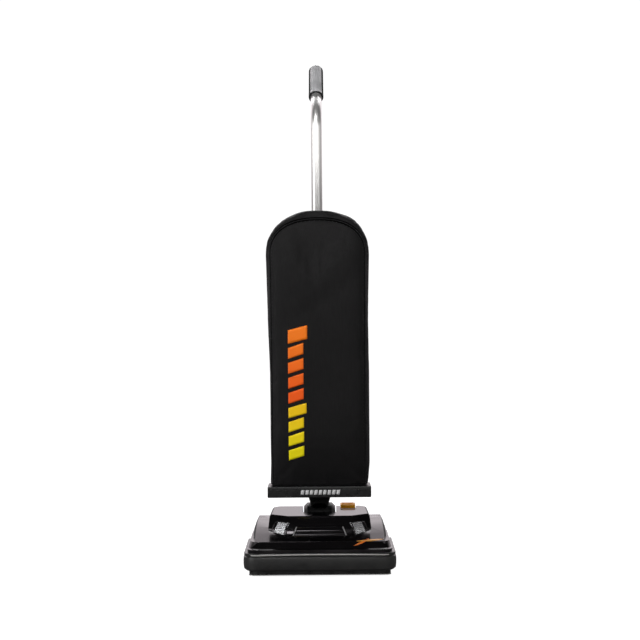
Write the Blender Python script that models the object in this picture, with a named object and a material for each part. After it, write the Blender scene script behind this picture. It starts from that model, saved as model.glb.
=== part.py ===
"""Lightweight commercial upright vacuum cleaner, modelled as an assembly of separate parts.

Frame: metres, +Z up, -Y is the front, +X is to the right seen from the front.  The origin is on
the floor under the middle of the machine's box.
"""
import math

import bmesh
import bpy
from mathutils import Vector

# ---------------------------------------------------------------- driving dimensions
GAP = 0.0003                  # clearance left between touching pieces
FRONT_Y = -0.176              # foremost point of the bumper
REAR_Y = 0.176                # rearmost point of the grip
TOP_Z = 1.175                 # highest point of the grip

CHASSIS_HALF = 0.155
CHASSIS_FRONT = -0.1635
CHASSIS_REAR = 0.120
CHASSIS_LOW = 0.006
CHASSIS_TOP = 0.0525
WALL = 0.003
FLOOR_TOP = CHASSIS_LOW + WALL
CHASSIS_RADIUS = 0.024        # plan radius of the chassis corners

SOLE_LOW = 0.004
SOLE_TOP = CHASSIS_LOW - GAP
SOLE_REAR = -0.100
MOUTH_HALF = 0.136
MOUTH_FRONT = -0.1595
MOUTH_REAR = -0.105

BUMPER_DEPTH = CHASSIS_FRONT - GAP - FRONT_Y
BUMPER_END_Y = 0.035

HOOD_LOW = 0.053
HOOD_SKIN = 0.0025
DECK_HALF = 0.1585
SHOULDER_HALF = 0.149
SHOULDER_TOP = 0.0985
HOOD_TOP = 0.120
LENS_LEVELS = ((0.080, 0.1290), (0.092, 0.1260), (0.107, 0.1135))  # (height, face's distance)
LENS_ALONG = (0.0030, 0.0420)  # where a lens starts and ends along the hood's cut-off corner

PIVOT_Y = 0.020
PIVOT_Z = 0.104
BARREL_RADIUS = 0.033
BARREL_HALF = 0.036
TRUNNION_RADIUS = 0.007
TRUNNION_END = 0.050
SLOT_HALF = 0.0395            # half width of the slot that the neck swings through

MOTOR_Y = -0.045
MOTOR_Z = 0.050
MOTOR_RADIUS = 0.0315
SHAFT_RADIUS = 0.004
FAN_CASE_RADIUS = 0.036
FAN_CASE_LEFT = -0.106
FAN_CASE_RIGHT = -0.066
MOTOR_LEFT = -0.062
MOTOR_RIGHT = 0.060
PULLEY_RADIUS = 0.008

BRUSH_Y = -0.130
BRUSH_Z = 0.0255
BRUSH_CORE_RADIUS = 0.0155
BRUSH_TIP_RADIUS = 0.0215
BRUSH_PULLEY_RADIUS = 0.016
BRUSH_HALF = 0.1365
BELT_X0 = 0.107
BELT_X1 = 0.118
BELT_THICKNESS = 0.0015

REAR_WHEEL_X = 0.125
REAR_WHEEL_Y = 0.085
REAR_WHEEL_RADIUS = 0.028
REAR_WHEEL_WIDTH = 0.018
AXLE_RADIUS = 0.003
ROLLER_X = 0.075
ROLLER_Y = -0.080
ROLLER_RADIUS = 0.011
ROLLER_WIDTH = 0.014
ROLLER_PIN_RADIUS = 0.0015

TUBE_RADIUS = 0.0127
TUBE_WALL = 0.0014
TUBE_LOW = 0.166
BEND_RADIUS = 0.065
GRIP_TILT = math.radians(48)
GRIP_RADIUS = 0.0175
GRIP_DOME = ((0.0060, 0.0175), (0.0020, 0.0158), (0.0, 0.0115))   # (distance from end, radius)
GRIP_LENGTH = 0.122
SOCKET_RADIUS = 0.0165
SOCKET_TOP = 0.236

BAR_HALF = 0.1165
BAR_FRONT = -0.070
BAR_REAR = 0.002
BAR_LOW = 0.1600
BAR_TOP = 0.185
INLET_Y = -0.0260
INLET_RADIUS = 0.0185

BAG_LOW = BAR_TOP + 0.0005
BAG_TOP = 0.8066
BAG_FRONT = -0.095
BAG_BACK = 0.003
BAG_CLOTH = 0.002
BAG_HALF_TOP = 0.1167
BAG_HALF_LOW = 0.1112

PEDAL_X = 0.0660
PEDAL_HALF = 0.0172
PEDAL_PIN_Y = 0.043
PEDAL_PIN_Z = 0.1105
PEDAL_TOP = 0.1275

SWITCH_LOW = 0.900
SWITCH_TOP = 0.962
ROCKER_Y = 0.0465
ROCKER_Z = 0.936
ROCKER_TILT = math.radians(7)

HOOK_LOW_Z = 0.405
HOOK_HIGH_Z = 0.730

AXIS_X = Vector((1, 0, 0))
AXIS_Y = Vector((0, 1, 0))
AXIS_Z = Vector((0, 0, 1))

# finish name: colour, roughness, metallic
FINISHES = {
    "gloss_black": ((0.010, 0.010, 0.011), 0.12, 0.0),
    "satin_black": ((0.012, 0.012, 0.013), 0.45, 0.0),
    "bumper_vinyl": ((0.016, 0.016, 0.016), 0.55, 0.0),
    "chrome_tube": ((0.86, 0.86, 0.85), 0.12, 1.0),
    "grip_foam": ((0.36, 0.36, 0.37), 0.75, 0.0),
    "bag_nylon": ((0.012, 0.012, 0.013), 0.65, 0.0),
    "filter_paper": ((0.72, 0.66, 0.55), 0.85, 0.0),
    "orange_plastic": ((0.62, 0.26, 0.03), 0.35, 0.0),
    "clear_lens": ((0.75, 0.77, 0.80), 0.08, 0.0),
    "lamp_glass": ((0.90, 0.88, 0.82), 0.10, 0.0),
    "bright_steel": ((0.62, 0.62, 0.62), 0.28, 1.0),
    "motor_metal": ((0.45, 0.45, 0.46), 0.40, 1.0),
    "brass_metal": ((0.72, 0.52, 0.22), 0.35, 1.0),
    "grey_plastic": ((0.22, 0.22, 0.23), 0.50, 0.0),
    "wheel_rubber": ((0.020, 0.020, 0.020), 0.60, 0.0),
    "belt_rubber": ((0.030, 0.028, 0.026), 0.70, 0.0),
    "brush_wood": ((0.55, 0.38, 0.20), 0.60, 0.0),
    "bristle_nylon": ((0.05, 0.05, 0.055), 0.70, 0.0),
}


# ---------------------------------------------------------------- modelling helpers
def clear_scene():
    """Remove everything that the scene starts with."""
    for obj in list(bpy.data.objects):
        bpy.data.objects.remove(obj, do_unlink=True)


def make_material(node, finish):
    """A Principled material of the node's own, in one of the finishes."""
    colour, roughness, metallic = FINISHES[finish]
    material = bpy.data.materials.new(node + "_" + finish)
    material.use_nodes = True
    shader = material.node_tree.nodes["Principled BSDF"]
    shader.inputs["Base Color"].default_value = (*colour, 1.0)
    shader.inputs["Roughness"].default_value = roughness
    shader.inputs["Metallic"].default_value = metallic
    material.diffuse_color = (*colour, 1.0)
    return material


def skin(name, rings, finish=None, closed=False, smooth=True):
    """One closed body from a stack of rings, each joined to the next.

    The first and last rings are capped, or joined to each other when closed is true.
    An object without a finish is a cutter.
    """
    bm = bmesh.new()
    loops = [[bm.verts.new(point) for point in ring] for ring in rings]
    pairs = list(zip(loops, loops[1:]))
    if closed:
        pairs.append((loops[-1], loops[0]))
    else:
        bm.faces.new(loops[0])
        bm.faces.new(loops[-1])
    for low, high in pairs:
        for i in range(len(low)):
            j = (i + 1) % len(low)
            bm.faces.new((low[i], low[j], high[j], high[i]))
    bmesh.ops.recalc_face_normals(bm, faces=bm.faces)
    mesh = bpy.data.meshes.new(name)
    bm.to_mesh(mesh)
    bm.free()
    if smooth:
        mesh.shade_smooth()
        mesh.set_sharp_from_angle(angle=math.radians(30))
    obj = bpy.data.objects.new(name, mesh)
    bpy.context.scene.collection.objects.link(obj)
    if finish:
        mesh.materials.append(make_material(name, finish))
    else:
        obj.hide_render = True
        obj.display_type = "WIRE"
    return obj


def boolean(target, other, operation="DIFFERENCE", solver="EXACT"):
    """Cut the other object from the target, or join it on."""
    modifier = target.modifiers.new(operation.lower() + "_" + other.name, "BOOLEAN")
    modifier.operation = operation
    modifier.solver = solver
    modifier.object = other


def cut(target, *cutters):
    """Cut each cutter from the target."""
    for cutter in cutters:
        boolean(target, cutter)


def join(target, *pieces):
    """Join each piece to the target."""
    for piece in pieces:
        boolean(target, piece, "UNION")


def move_origin(obj, point):
    """Put the object's origin at a point on its joint's axis, and leave its shape in place."""
    point = Vector(point)
    for vertex in obj.data.vertices:
        vertex.co -= point
    obj.location = point


def circle(centre, radius, u, v, count=24):
    """Points of a circle in the plane of the directions u and v."""
    centre = Vector(centre)
    points = []
    for i in range(count):
        angle = 2 * math.pi * i / count
        points.append(centre + radius * (math.cos(angle) * u + math.sin(angle) * v))
    return points


def turned(name, axis_point, direction, profile, finish=None, closed=False, count=24):
    """A round piece: profile holds (distance along the axis, radius) pairs."""
    direction = Vector(direction).normalized()
    u = AXIS_Z if abs(direction.z) < 0.5 else AXIS_X
    u = (u - u.dot(direction) * direction).normalized()
    v = direction.cross(u)
    start = Vector(axis_point)
    rings = [circle(start + along * direction, radius, u, v, count) for along, radius in profile]
    return skin(name, rings, finish, closed)


def rod_x(name, y, z, radius, x0, x1, finish=None, count=24):
    """A plain round bar along X."""
    return turned(name, (0, y, z), AXIS_X, [(x0, radius), (x1, radius)], finish, count=count)


def rod_z(name, x, y, radius, z0, z1, finish=None, count=24):
    """A plain round bar along Z."""
    return turned(name, (x, y, 0), AXIS_Z, [(z0, radius), (z1, radius)], finish, count=count)


def block(name, x, y, z, finish=None):
    """A box given by its (low, high) pairs along X, Y and Z."""
    rings = []
    for height in z:
        corners = ((x[0], y[0]), (x[1], y[0]), (x[1], y[1]), (x[0], y[1]))
        rings.append([Vector((px, py, height)) for px, py in corners])
    return skin(name, rings, finish, smooth=False)


def bevel(obj, width, segments=2):
    """Round the sharp edges of an object."""
    modifier = obj.modifiers.new("rounded_edges", "BEVEL")
    modifier.width = width
    modifier.segments = segments
    modifier.limit_method = "ANGLE"
    modifier.angle_limit = math.radians(40)


def plate_x(name, outline, x0, x1, finish=None):
    """An outline of (y, z) points, extruded along X."""
    rings = [[Vector((x, y, z)) for y, z in outline] for x in (x0, x1)]
    return skin(name, rings, finish, smooth=False)


def rounded_outline(half, front, rear, radius, z, steps=5):
    """A rectangle with round corners, seen from above, centred on X = 0."""
    corners = (
        (half - radius, rear - radius, 0),
        (-half + radius, rear - radius, 90),
        (-half + radius, front + radius, 180),
        (half - radius, front + radius, 270),
    )
    points = []
    for cx, cy, start in corners:
        for i in range(steps + 1):
            angle = math.radians(start + 90 * i / steps)
            points.append(Vector((cx + radius * math.cos(angle), cy + radius * math.sin(angle), z)))
    return points


def sides():
    """The two sides of the machine, with the sign that mirrors X."""
    return (("left", -1), ("right", 1))


def span(sign, near, far):
    """The (low, high) X pair of a piece that reaches from near to far on one side."""
    return tuple(sorted((sign * near, sign * far)))


# ---------------------------------------------------------------- base
def build_chassis():
    """The lower housing: a tray with the brush chamber, wheel slots and bosses."""
    outer = (CHASSIS_HALF, CHASSIS_FRONT, CHASSIS_REAR, CHASSIS_RADIUS)
    inner = (CHASSIS_HALF - WALL, CHASSIS_FRONT + WALL, CHASSIS_REAR - WALL, CHASSIS_RADIUS - WALL)
    tray = skin(
        "base_chassis",
        [
            rounded_outline(*inner, FLOOR_TOP),
            rounded_outline(*inner, CHASSIS_TOP),
            rounded_outline(*outer, CHASSIS_TOP),
            rounded_outline(*outer, CHASSIS_LOW),
        ],
        "satin_black",
    )
    chamber_wall = block(
        "chamber_wall", (-CHASSIS_HALF + 0.001, CHASSIS_HALF - 0.001),
        (SOLE_REAR, SOLE_REAR + 0.0025), (CHASSIS_LOW + 0.001, CHASSIS_TOP - 0.002),
    )
    join(tray, chamber_wall)
    for side, sign in sides():
        for index, (near, far) in enumerate(((0.100, 0.110), (0.140, 0.150))):
            boss = block(
                f"axle_boss_{side}_{index}", span(sign, near, far),
                (REAR_WHEEL_Y - 0.008, REAR_WHEEL_Y + 0.008), (CHASSIS_LOW + 0.001, 0.037),
            )
            join(tray, boss)
        for index, offset in enumerate((-0.0115, 0.0115)):
            centre = sign * ROLLER_X + offset
            boss = block(
                f"roller_boss_{side}_{index}", (centre - 0.0025, centre + 0.0025),
                (ROLLER_Y - 0.005, ROLLER_Y + 0.005), (CHASSIS_LOW + 0.001, 0.0165),
            )
            join(tray, boss)
    mouth = block(
        "chassis_mouth_cutter", (-MOUTH_HALF, MOUTH_HALF), (MOUTH_FRONT, MOUTH_REAR), (0.0, 0.012)
    )
    intake = block(
        "chassis_intake_cutter", (-0.142, -0.120), (SOLE_REAR - 0.01, SOLE_REAR + 0.01),
        (0.015, 0.045),
    )
    belt_slot = block(
        "chassis_belt_cutter", (BELT_X0 - 0.003, BELT_X1 + 0.003),
        (SOLE_REAR - 0.01, SOLE_REAR + 0.01), (0.013, 0.060),
    )
    cut(tray, mouth, intake, belt_slot)
    cut(tray, rod_x("axle_hole_cutter", REAR_WHEEL_Y, REAR_WHEEL_RADIUS, AXLE_RADIUS + GAP,
                    -0.1495, 0.1495, count=16))
    for side, sign in sides():
        wheel_slot = block(
            f"wheel_slot_cutter_{side}", span(sign, 0.1125, 0.1375),
            (REAR_WHEEL_Y - 0.031, REAR_WHEEL_Y + 0.031), (0.0, 0.020),
        )
        roller_slot = block(
            f"roller_slot_cutter_{side}", span(sign, ROLLER_X - 0.0085, ROLLER_X + 0.0085),
            (ROLLER_Y - 0.0135, ROLLER_Y + 0.0135), (0.0, 0.030),
        )
        pin_hole = rod_x(
            f"roller_pin_cutter_{side}", ROLLER_Y, ROLLER_RADIUS, ROLLER_PIN_RADIUS + GAP,
            *span(sign, ROLLER_X - 0.020, ROLLER_X + 0.020), count=12,
        )
        post_hole = rod_z(f"post_hole_cutter_{side}", sign * 0.140, 0.030, 0.0019, 0.0, 0.012,
                          count=12)
        cut(tray, wheel_slot, roller_slot, pin_hole, post_hole)
        for row, y in enumerate((-0.146, -0.114)):
            cut(tray, rod_z(f"sole_hole_cutter_{side}_{row}", sign * 0.1455, y, 0.0018,
                            0.0, 0.012, count=12))
    return tray


def build_sole_plate():
    """The steel plate round the nozzle's mouth, with its four screws."""
    plate = skin(
        "sole_plate",
        [rounded_outline(CHASSIS_HALF, CHASSIS_FRONT, SOLE_REAR, 0.012, z, steps=4)
         for z in (SOLE_LOW, SOLE_TOP)],
        "bright_steel",
    )
    mouth = block("sole_mouth_cutter", (-MOUTH_HALF, MOUTH_HALF), (MOUTH_FRONT, MOUTH_REAR),
                  (0.0, 0.012))
    cut(plate, mouth)
    for side, sign in sides():
        for row, y in enumerate((-0.146, -0.114)):
            cut(plate, rod_z(f"plate_hole_cutter_{side}_{row}", sign * 0.1455, y, 0.0018,
                             0.0, 0.012, count=12))
            turned(
                f"sole_screw_{side}_{row + 1}", (sign * 0.1455, y, 0), AXIS_Z,
                [(0.0022, 0.0030), (0.0028, 0.0040), (SOLE_LOW - GAP, 0.0040),
                 (SOLE_LOW - GAP, 0.0015), (0.0150, 0.0015)],
                "bright_steel", count=12,
            )


def bumper_path():
    """Points and outward directions along the bumper's inner face, from left to right."""
    half = CHASSIS_HALF + GAP
    front = CHASSIS_FRONT - GAP
    radius = CHASSIS_RADIUS
    path = [(Vector((-half, BUMPER_END_Y, 0)), -AXIS_X)]
    for centre_x, start in ((-half + radius, 180), (half - radius, 270)):
        for i in range(8):
            angle = math.radians(start + 90 * i / 7)
            outward = Vector((math.cos(angle), math.sin(angle), 0))
            path.append((Vector((centre_x, front + radius, 0)) + radius * outward, outward))
    path.append((Vector((half, BUMPER_END_Y, 0)), AXIS_X))
    return path


def build_bumper():
    """The soft bumper that wraps round the front: a bead along its top and a bulging face."""
    depth = BUMPER_DEPTH
    section = (
        (0.0, 0.0140), (0.5 * depth, 0.0140), (0.92 * depth, 0.0180), (depth, 0.0270),
        (depth, 0.0370), (0.95 * depth, 0.0438), (0.78 * depth, 0.0448), (0.78 * depth, 0.0462),
        (0.87 * depth, 0.0475), (0.87 * depth, 0.0512), (0.80 * depth, 0.0525), (0.0, 0.0525),
    )
    rings = []
    for point, outward in bumper_path():
        rings.append([point + out * outward + z * AXIS_Z for out, z in section])
    skin("bumper", rings, "bumper_vinyl")


def shoulder_tier(name, inset, finish=None):
    """The sloping shoulders of the hood, or the hollow inside them when inset is given."""
    low = HOOD_LOW if inset == 0 else HOOD_LOW - 0.004
    outline = (
        (-0.150, low), (-0.1485, 0.0625), (-0.1440, 0.0740), (-0.1000, 0.0850),
        (-0.0550, 0.0932), (-0.0100, 0.0974), (0.0300, SHOULDER_TOP), (0.086, SHOULDER_TOP),
        (0.108, 0.0900), (0.1135, 0.0700), (0.1135, low),
    )
    rings = []
    for half, drop in ((-SHOULDER_HALF, 0.014), (-0.1427, 0.0), (0.1427, 0.0),
                       (SHOULDER_HALF, 0.014)):
        x = half - math.copysign(inset, half)
        ring = []
        for y, z in outline:
            lowered = z if z <= 0.0625 else max(z - drop, 0.0620)
            height = z if z == low else lowered - inset
            ring.append(Vector((x, y - math.copysign(inset, y - 0.0) * (abs(y) > 0.1), height)))
        rings.append(ring)
    return skin(name, rings, finish, smooth=False)


def deck_tier(name, inset, finish=None):
    """The low deck with its cheeks and front lip, or the hollow inside it."""
    low = HOOD_LOW if inset == 0 else HOOD_LOW - 0.003
    levels = (
        (low, DECK_HALF, -0.1665, 0.1165),
        (0.0595 - inset * 0.8, DECK_HALF, -0.1660, 0.1165),
        (0.0608 - inset, 0.1565, -0.1575, 0.1155),
        (0.0737 - inset, 0.1530, -0.1445, 0.1130),
    )
    rings = []
    for z, half, front, rear in levels:
        rings.append(rounded_outline(half - inset, front + inset, rear - inset,
                                     CHASSIS_RADIUS - inset, z))
    return skin(name, rings, finish)


def hood_tier(name, inset, finish=None):
    """The raised middle of the hood, whose front corners are cut off for the headlights."""
    low = HOOD_LOW if inset == 0 else HOOD_LOW - 0.002
    levels = (
        (low, 0.0965, 0.070, -0.1225, 0.087),
        (0.0920 - inset * 0.3, 0.1155, 0.073, -0.1030, 0.086),
        (0.1160 - inset, 0.1130, 0.073, -0.0790, 0.085),
        (HOOD_TOP - inset, 0.1090, 0.071, -0.0745, 0.081),
    )
    rings = []
    for z, half, corner, front, rear in levels:
        half -= inset
        front += inset
        rear -= inset
        outline = ((corner, front), (half, front + 0.030), (half - 0.003, rear - 0.012),
                   (half - 0.015, rear))
        ring = [Vector((x, y, z)) for x, y in outline]
        ring += [Vector((-x, y, z)) for x, y in reversed(outline)]
        rings.append(ring)
    return skin(name, rings, finish, smooth=False)


def build_hood():
    """The glossy upper housing, one thin moulding with a slot for the handle's neck."""
    hood = deck_tier("hood", 0, "gloss_black")
    join(hood, shoulder_tier("shoulder_outer", 0), hood_tier("hood_outer", 0))
    cut(hood, deck_tier("deck_hollow_cutter", HOOD_SKIN))
    cut(hood, shoulder_tier("shoulder_hollow_cutter", HOOD_SKIN))
    cut(hood, hood_tier("hood_hollow_cutter", HOOD_SKIN))
    trough = block("trough_walls", (-SLOT_HALF - HOOD_SKIN, SLOT_HALF + HOOD_SKIN),
                   (-0.0190, 0.0785), (0.0685, HOOD_TOP - 0.001))
    join(hood, trough)
    pedal_well = block("pedal_well_walls", (0.0462, 0.0885), (0.0320, 0.0845),
                       (0.0880, HOOD_TOP - 0.0012))
    join(hood, pedal_well)
    for side, sign in sides():
        join(hood, rod_z(f"post_{side}", sign * 0.140, 0.030, 0.0045, FLOOR_TOP + GAP, 0.0972,
                         count=16))
    trough_hollow = block("trough_cutter", (-SLOT_HALF, SLOT_HALF), (-0.0165, 0.0760),
                          (0.050, 0.140))
    slot_rear = block("slot_rear_cutter", (-SLOT_HALF + 0.0001, SLOT_HALF - 0.0001),
                      (0.070, 0.095), (SHOULDER_TOP + 0.001, 0.141))
    trunnion_gap = block("trunnion_gap_cutter", (-0.048, 0.048),
                         (PIVOT_Y - 0.0090, PIVOT_Y + 0.0090), (0.050, PIVOT_Z + 0.009))
    pedal_hollow = block("pedal_cutter", (0.0482, 0.0860), (0.0345, 0.0825), (0.0860, 0.142))
    pedal_rear = block("pedal_rear_cutter", (0.0483, 0.0859), (0.0800, 0.0950),
                       (SHOULDER_TOP + 0.001, 0.141))
    cut(hood, trough_hollow, slot_rear, trunnion_gap, pedal_hollow, pedal_rear)
    pin_hole = rod_x("pedal_pin_hole_cutter", PEDAL_PIN_Y, PEDAL_PIN_Z, 0.0018, 0.0450, 0.0895,
                     count=12)
    boolean(hood, pin_hole, solver="MANIFOLD")
    for side, sign in sides():
        cut(hood, rod_z(f"post_screw_cutter_{side}", sign * 0.140, 0.030, 0.0019, 0.0, 0.0360,
                        count=12))
        boolean(hood, lens_wedge(f"lens_cutter_{side}", sign, 0.0, -0.0090, 0.0060), solver="MANIFOLD")
        turned(
            f"hood_screw_{side}", (sign * 0.140, 0.030, 0), AXIS_Z,
            [(0.0035, 0.0030), (0.0042, 0.0042), (CHASSIS_LOW - GAP, 0.0042),
             (CHASSIS_LOW - GAP, 0.0016), (0.0340, 0.0016)],
            "bright_steel", count=12,
        )


def lens_wedge(name, sign, margin, back, front, finish=None):
    """A block lying along the cut-off front corner of the hood, where a headlight lens sits.

    It reaches from back to front, counted outwards from the corner's own bent face.
    """
    along = Vector((0.0425, 0.0300, 0)).normalized()
    outward = Vector((0.0300, -0.0425, 0)).normalized()
    low, high = LENS_LEVELS[0][0] + margin, LENS_LEVELS[-1][0] - margin
    rings = []
    for height, distance in LENS_LEVELS:
        z = min(max(height, low), high)
        corners = ((LENS_ALONG[0] + margin, back), (LENS_ALONG[1] - margin, back),
                   (LENS_ALONG[1] - margin, front), (LENS_ALONG[0] + margin, front))
        ring = [a * along + (distance + b) * outward for a, b in corners]
        rings.append([Vector((sign * p.x, p.y, z)) for p in ring])
    return skin(name, rings, finish, smooth=False)


def build_headlights():
    """A clear lens in each front corner of the hood, with a small lamp behind it."""
    for side, sign in sides():
        lens_wedge(f"headlight_lens_{side}", sign, GAP, -0.0035, 0.0, "clear_lens")
        turned(
            f"headlamp_{side}", (sign * 0.0830, -0.0720, 0.0930),
            Vector((sign * 0.577, -0.817, 0)),
            [(-0.0060, 0.0040), (0.0, 0.0040), (0.0, 0.0026), (0.0045, 0.0028),
             (0.0070, 0.0014)],
            "lamp_glass", count=12,
        )


def build_motor():
    """The motor can, the armature with its shaft, the suction fan and the fan's case."""
    axis = (0, MOTOR_Y, MOTOR_Z)
    can = MOTOR_RADIUS
    bore = SHAFT_RADIUS + GAP
    turned(
        "motor_can", axis, AXIS_X,
        [(MOTOR_LEFT, bore), (MOTOR_LEFT, can), (MOTOR_RIGHT, can), (MOTOR_RIGHT, bore),
         (MOTOR_RIGHT - 0.002, bore), (MOTOR_RIGHT - 0.002, can - 0.003),
         (MOTOR_LEFT + 0.002, can - 0.003), (MOTOR_LEFT + 0.002, bore)],
        "motor_metal", closed=True,
    )
    rotor = turned(
        "motor_armature", axis, AXIS_X,
        [(-0.096, SHAFT_RADIUS), (-0.032, SHAFT_RADIUS), (-0.032, 0.022), (0.028, 0.022),
         (0.028, SHAFT_RADIUS), (0.036, SHAFT_RADIUS), (0.036, 0.011), (0.050, 0.011),
         (0.050, SHAFT_RADIUS), (0.121, SHAFT_RADIUS)],
        "brass_metal", count=20,
    )
    case = FAN_CASE_RADIUS
    fan_case = turned(
        "fan_case", axis, AXIS_X,
        [(FAN_CASE_LEFT, 0.016), (FAN_CASE_LEFT, case), (FAN_CASE_RIGHT, case),
         (FAN_CASE_RIGHT, bore), (FAN_CASE_RIGHT - 0.0025, bore),
         (FAN_CASE_RIGHT - 0.0025, case - 0.0025), (FAN_CASE_LEFT + 0.0025, case - 0.0025),
         (FAN_CASE_LEFT + 0.0025, 0.016)],
        "grey_plastic", closed=True,
    )
    outlet = block("fan_outlet_cutter", (-0.100, -0.072), (-0.030, 0.0),
                   (MOTOR_Z - 0.028, MOTOR_Z - 0.010))
    cut(fan_case, outlet)
    build_impeller(axis)
    pulley = turned(
        "motor_pulley", axis, AXIS_X,
        [(BELT_X0 - 0.0015, SHAFT_RADIUS + GAP), (BELT_X0 - 0.0015, PULLEY_RADIUS + 0.0018),
         (BELT_X0 - 0.0003, PULLEY_RADIUS + 0.0018), (BELT_X0 - 0.0003, PULLEY_RADIUS),
         (BELT_X1 + 0.0003, PULLEY_RADIUS), (BELT_X1 + 0.0003, PULLEY_RADIUS + 0.0018),
         (BELT_X1 + 0.0015, PULLEY_RADIUS + 0.0018), (BELT_X1 + 0.0015, SHAFT_RADIUS + GAP)],
        "bright_steel", closed=True, count=20,
    )
    for piece in (rotor, pulley):
        move_origin(piece, axis)


def build_impeller(axis):
    """The suction fan: a round plate with eight straight blades."""
    blades = 8
    hub, tip, half_blade = 0.010, 0.031, 0.0009
    outline = []
    for i in range(blades):
        angle = 2 * math.pi * i / blades
        along = (math.cos(angle), math.sin(angle))
        across = (-math.sin(angle), math.cos(angle))
        for radius, offset in ((hub, -half_blade), (tip, -half_blade), (tip, half_blade),
                               (hub, half_blade)):
            outline.append((axis[1] + radius * along[0] + offset * across[0],
                            axis[2] + radius * along[1] + offset * across[1]))
    fan = plate_x("fan_impeller", outline, -0.098, -0.079, "grey_plastic")
    join(fan, rod_x("fan_plate", axis[1], axis[2], tip - 0.0004, -0.080, -0.0775, count=24))
    cut(fan, rod_x("fan_bore_cutter", axis[1], axis[2], SHAFT_RADIUS + GAP, -0.105, -0.070,
                   count=20))
    move_origin(fan, axis)


def hollow_box(name, x, y, z, wall, finish):
    """A box with a hollow inside, still closed: its openings are cut afterwards."""
    box = block(name, x, y, z, finish)
    hollow = block(name + "_hollow_cutter", (x[0] + wall, x[1] - wall),
                   (y[0] + wall, y[1] - wall), (z[0] + wall, z[1] - wall))
    cut(box, hollow)
    return box


def build_ducts():
    """Ducts from the brush chamber to the fan's eye, and from the fan to the hollow pivot."""
    intake = hollow_box("intake_duct", (-0.1445, FAN_CASE_LEFT - GAP),
                        (SOLE_REAR + 0.0025 + GAP, -0.0250), (FLOOR_TOP + GAP, 0.0695), 0.002,
                        "grey_plastic")
    mouth = block("intake_mouth_cutter", (-0.1420, -0.1200), (-0.105, -0.090), (0.015, 0.045))
    eye = rod_x("intake_eye_cutter", MOTOR_Y, MOTOR_Z, 0.015, -0.115, -0.100, count=20)
    cut(intake, mouth, eye)
    outlet = hollow_box("outlet_duct", (-0.1050, 0.0310), (-0.0075, 0.0465),
                        (FLOOR_TOP + GAP, 0.0680), 0.002, "grey_plastic")
    into_fan = block("outlet_fan_cutter", (-0.1000, -0.0720), (-0.012, 0.0),
                     (MOTOR_Z - 0.028, MOTOR_Z - 0.010))
    into_pivot = block("outlet_pivot_cutter", (-0.0260, 0.0260), (0.0020, 0.0380),
                       (0.060, 0.075))
    cut(outlet, into_fan, into_pivot)


def build_brush():
    """The brush roll with its two spiral rows of bristles, its end bearings and the belt."""
    axis = (0, BRUSH_Y, BRUSH_Z)
    core = BRUSH_CORE_RADIUS
    pulley = BRUSH_PULLEY_RADIUS - 0.0035
    roll = turned(
        "brush_roll", axis, AXIS_X,
        [(-BRUSH_HALF - 0.006, 0.0035), (-BRUSH_HALF, 0.0035), (-BRUSH_HALF, core),
         (BELT_X0 - 0.002, core), (BELT_X0 - 0.0005, pulley), (BELT_X1 + 0.0005, pulley),
         (BELT_X1 + 0.002, core), (BRUSH_HALF, core), (BRUSH_HALF, 0.0035),
         (BRUSH_HALF + 0.006, 0.0035)],
        "brush_wood", count=20,
    )
    move_origin(roll, axis)
    for index in range(2):
        strip = bristle_strip(f"bristle_strip_{index + 1}", math.pi * index)
        move_origin(strip, axis)
    for side, sign in sides():
        turned(
            f"brush_bearing_{side}", axis, AXIS_X * sign,
            [(BRUSH_HALF + 0.0005, 0.0035 + GAP), (BRUSH_HALF + 0.0005, 0.0090),
             (CHASSIS_HALF - WALL - GAP, 0.0090), (CHASSIS_HALF - WALL - GAP, 0.0035 + GAP)],
            "bright_steel", closed=True, count=16,
        )


def bristle_strip(name, phase):
    """A row of bristles that winds half a turn round the brush roll."""
    x0, x1 = -0.130, BELT_X0 - 0.004
    turns = 0.5
    count = 16
    rings = []
    for i in range(count + 1):
        t = i / count
        angle = phase + 2 * math.pi * turns * t
        x = x0 + (x1 - x0) * t
        ring = []
        for radius, spread in ((BRUSH_CORE_RADIUS + GAP, -0.14), (BRUSH_TIP_RADIUS, -0.10),
                               (BRUSH_TIP_RADIUS, 0.10), (BRUSH_CORE_RADIUS + GAP, 0.14)):
            ring.append(Vector((x, BRUSH_Y + radius * math.cos(angle + spread),
                                BRUSH_Z + radius * math.sin(angle + spread))))
        rings.append(ring)
    return skin(name, rings, "bristle_nylon", smooth=False)


def build_belt():
    """The flat belt from the motor pulley to the groove at the brush roll's end."""
    big = (BRUSH_Y, BRUSH_Z, BRUSH_PULLEY_RADIUS - 0.0035 + GAP)
    small = (MOTOR_Y, MOTOR_Z, PULLEY_RADIUS + GAP)
    dy = small[0] - big[0]
    dz = small[1] - big[1]
    distance = math.hypot(dy, dz)
    heading = math.atan2(dz, dy)
    lean = math.acos((big[2] - small[2]) / distance)
    rings = []
    loop = []
    for (y, z, radius), start, end in ((big, heading + lean, heading + 2 * math.pi - lean),
                                       (small, heading - lean, heading + lean)):
        for i in range(11):
            angle = start + (end - start) * i / 10
            loop.append((y, z, radius, angle))
    for y, z, radius, angle in loop:
        ring = []
        for x, extra in ((BELT_X0, 0.0), (BELT_X1, 0.0), (BELT_X1, BELT_THICKNESS),
                         (BELT_X0, BELT_THICKNESS)):
            ring.append(Vector((x, y + (radius + extra) * math.cos(angle),
                                z + (radius + extra) * math.sin(angle))))
        rings.append(ring)
    skin("drive_belt", rings, "belt_rubber", closed=True, smooth=False)


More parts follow.
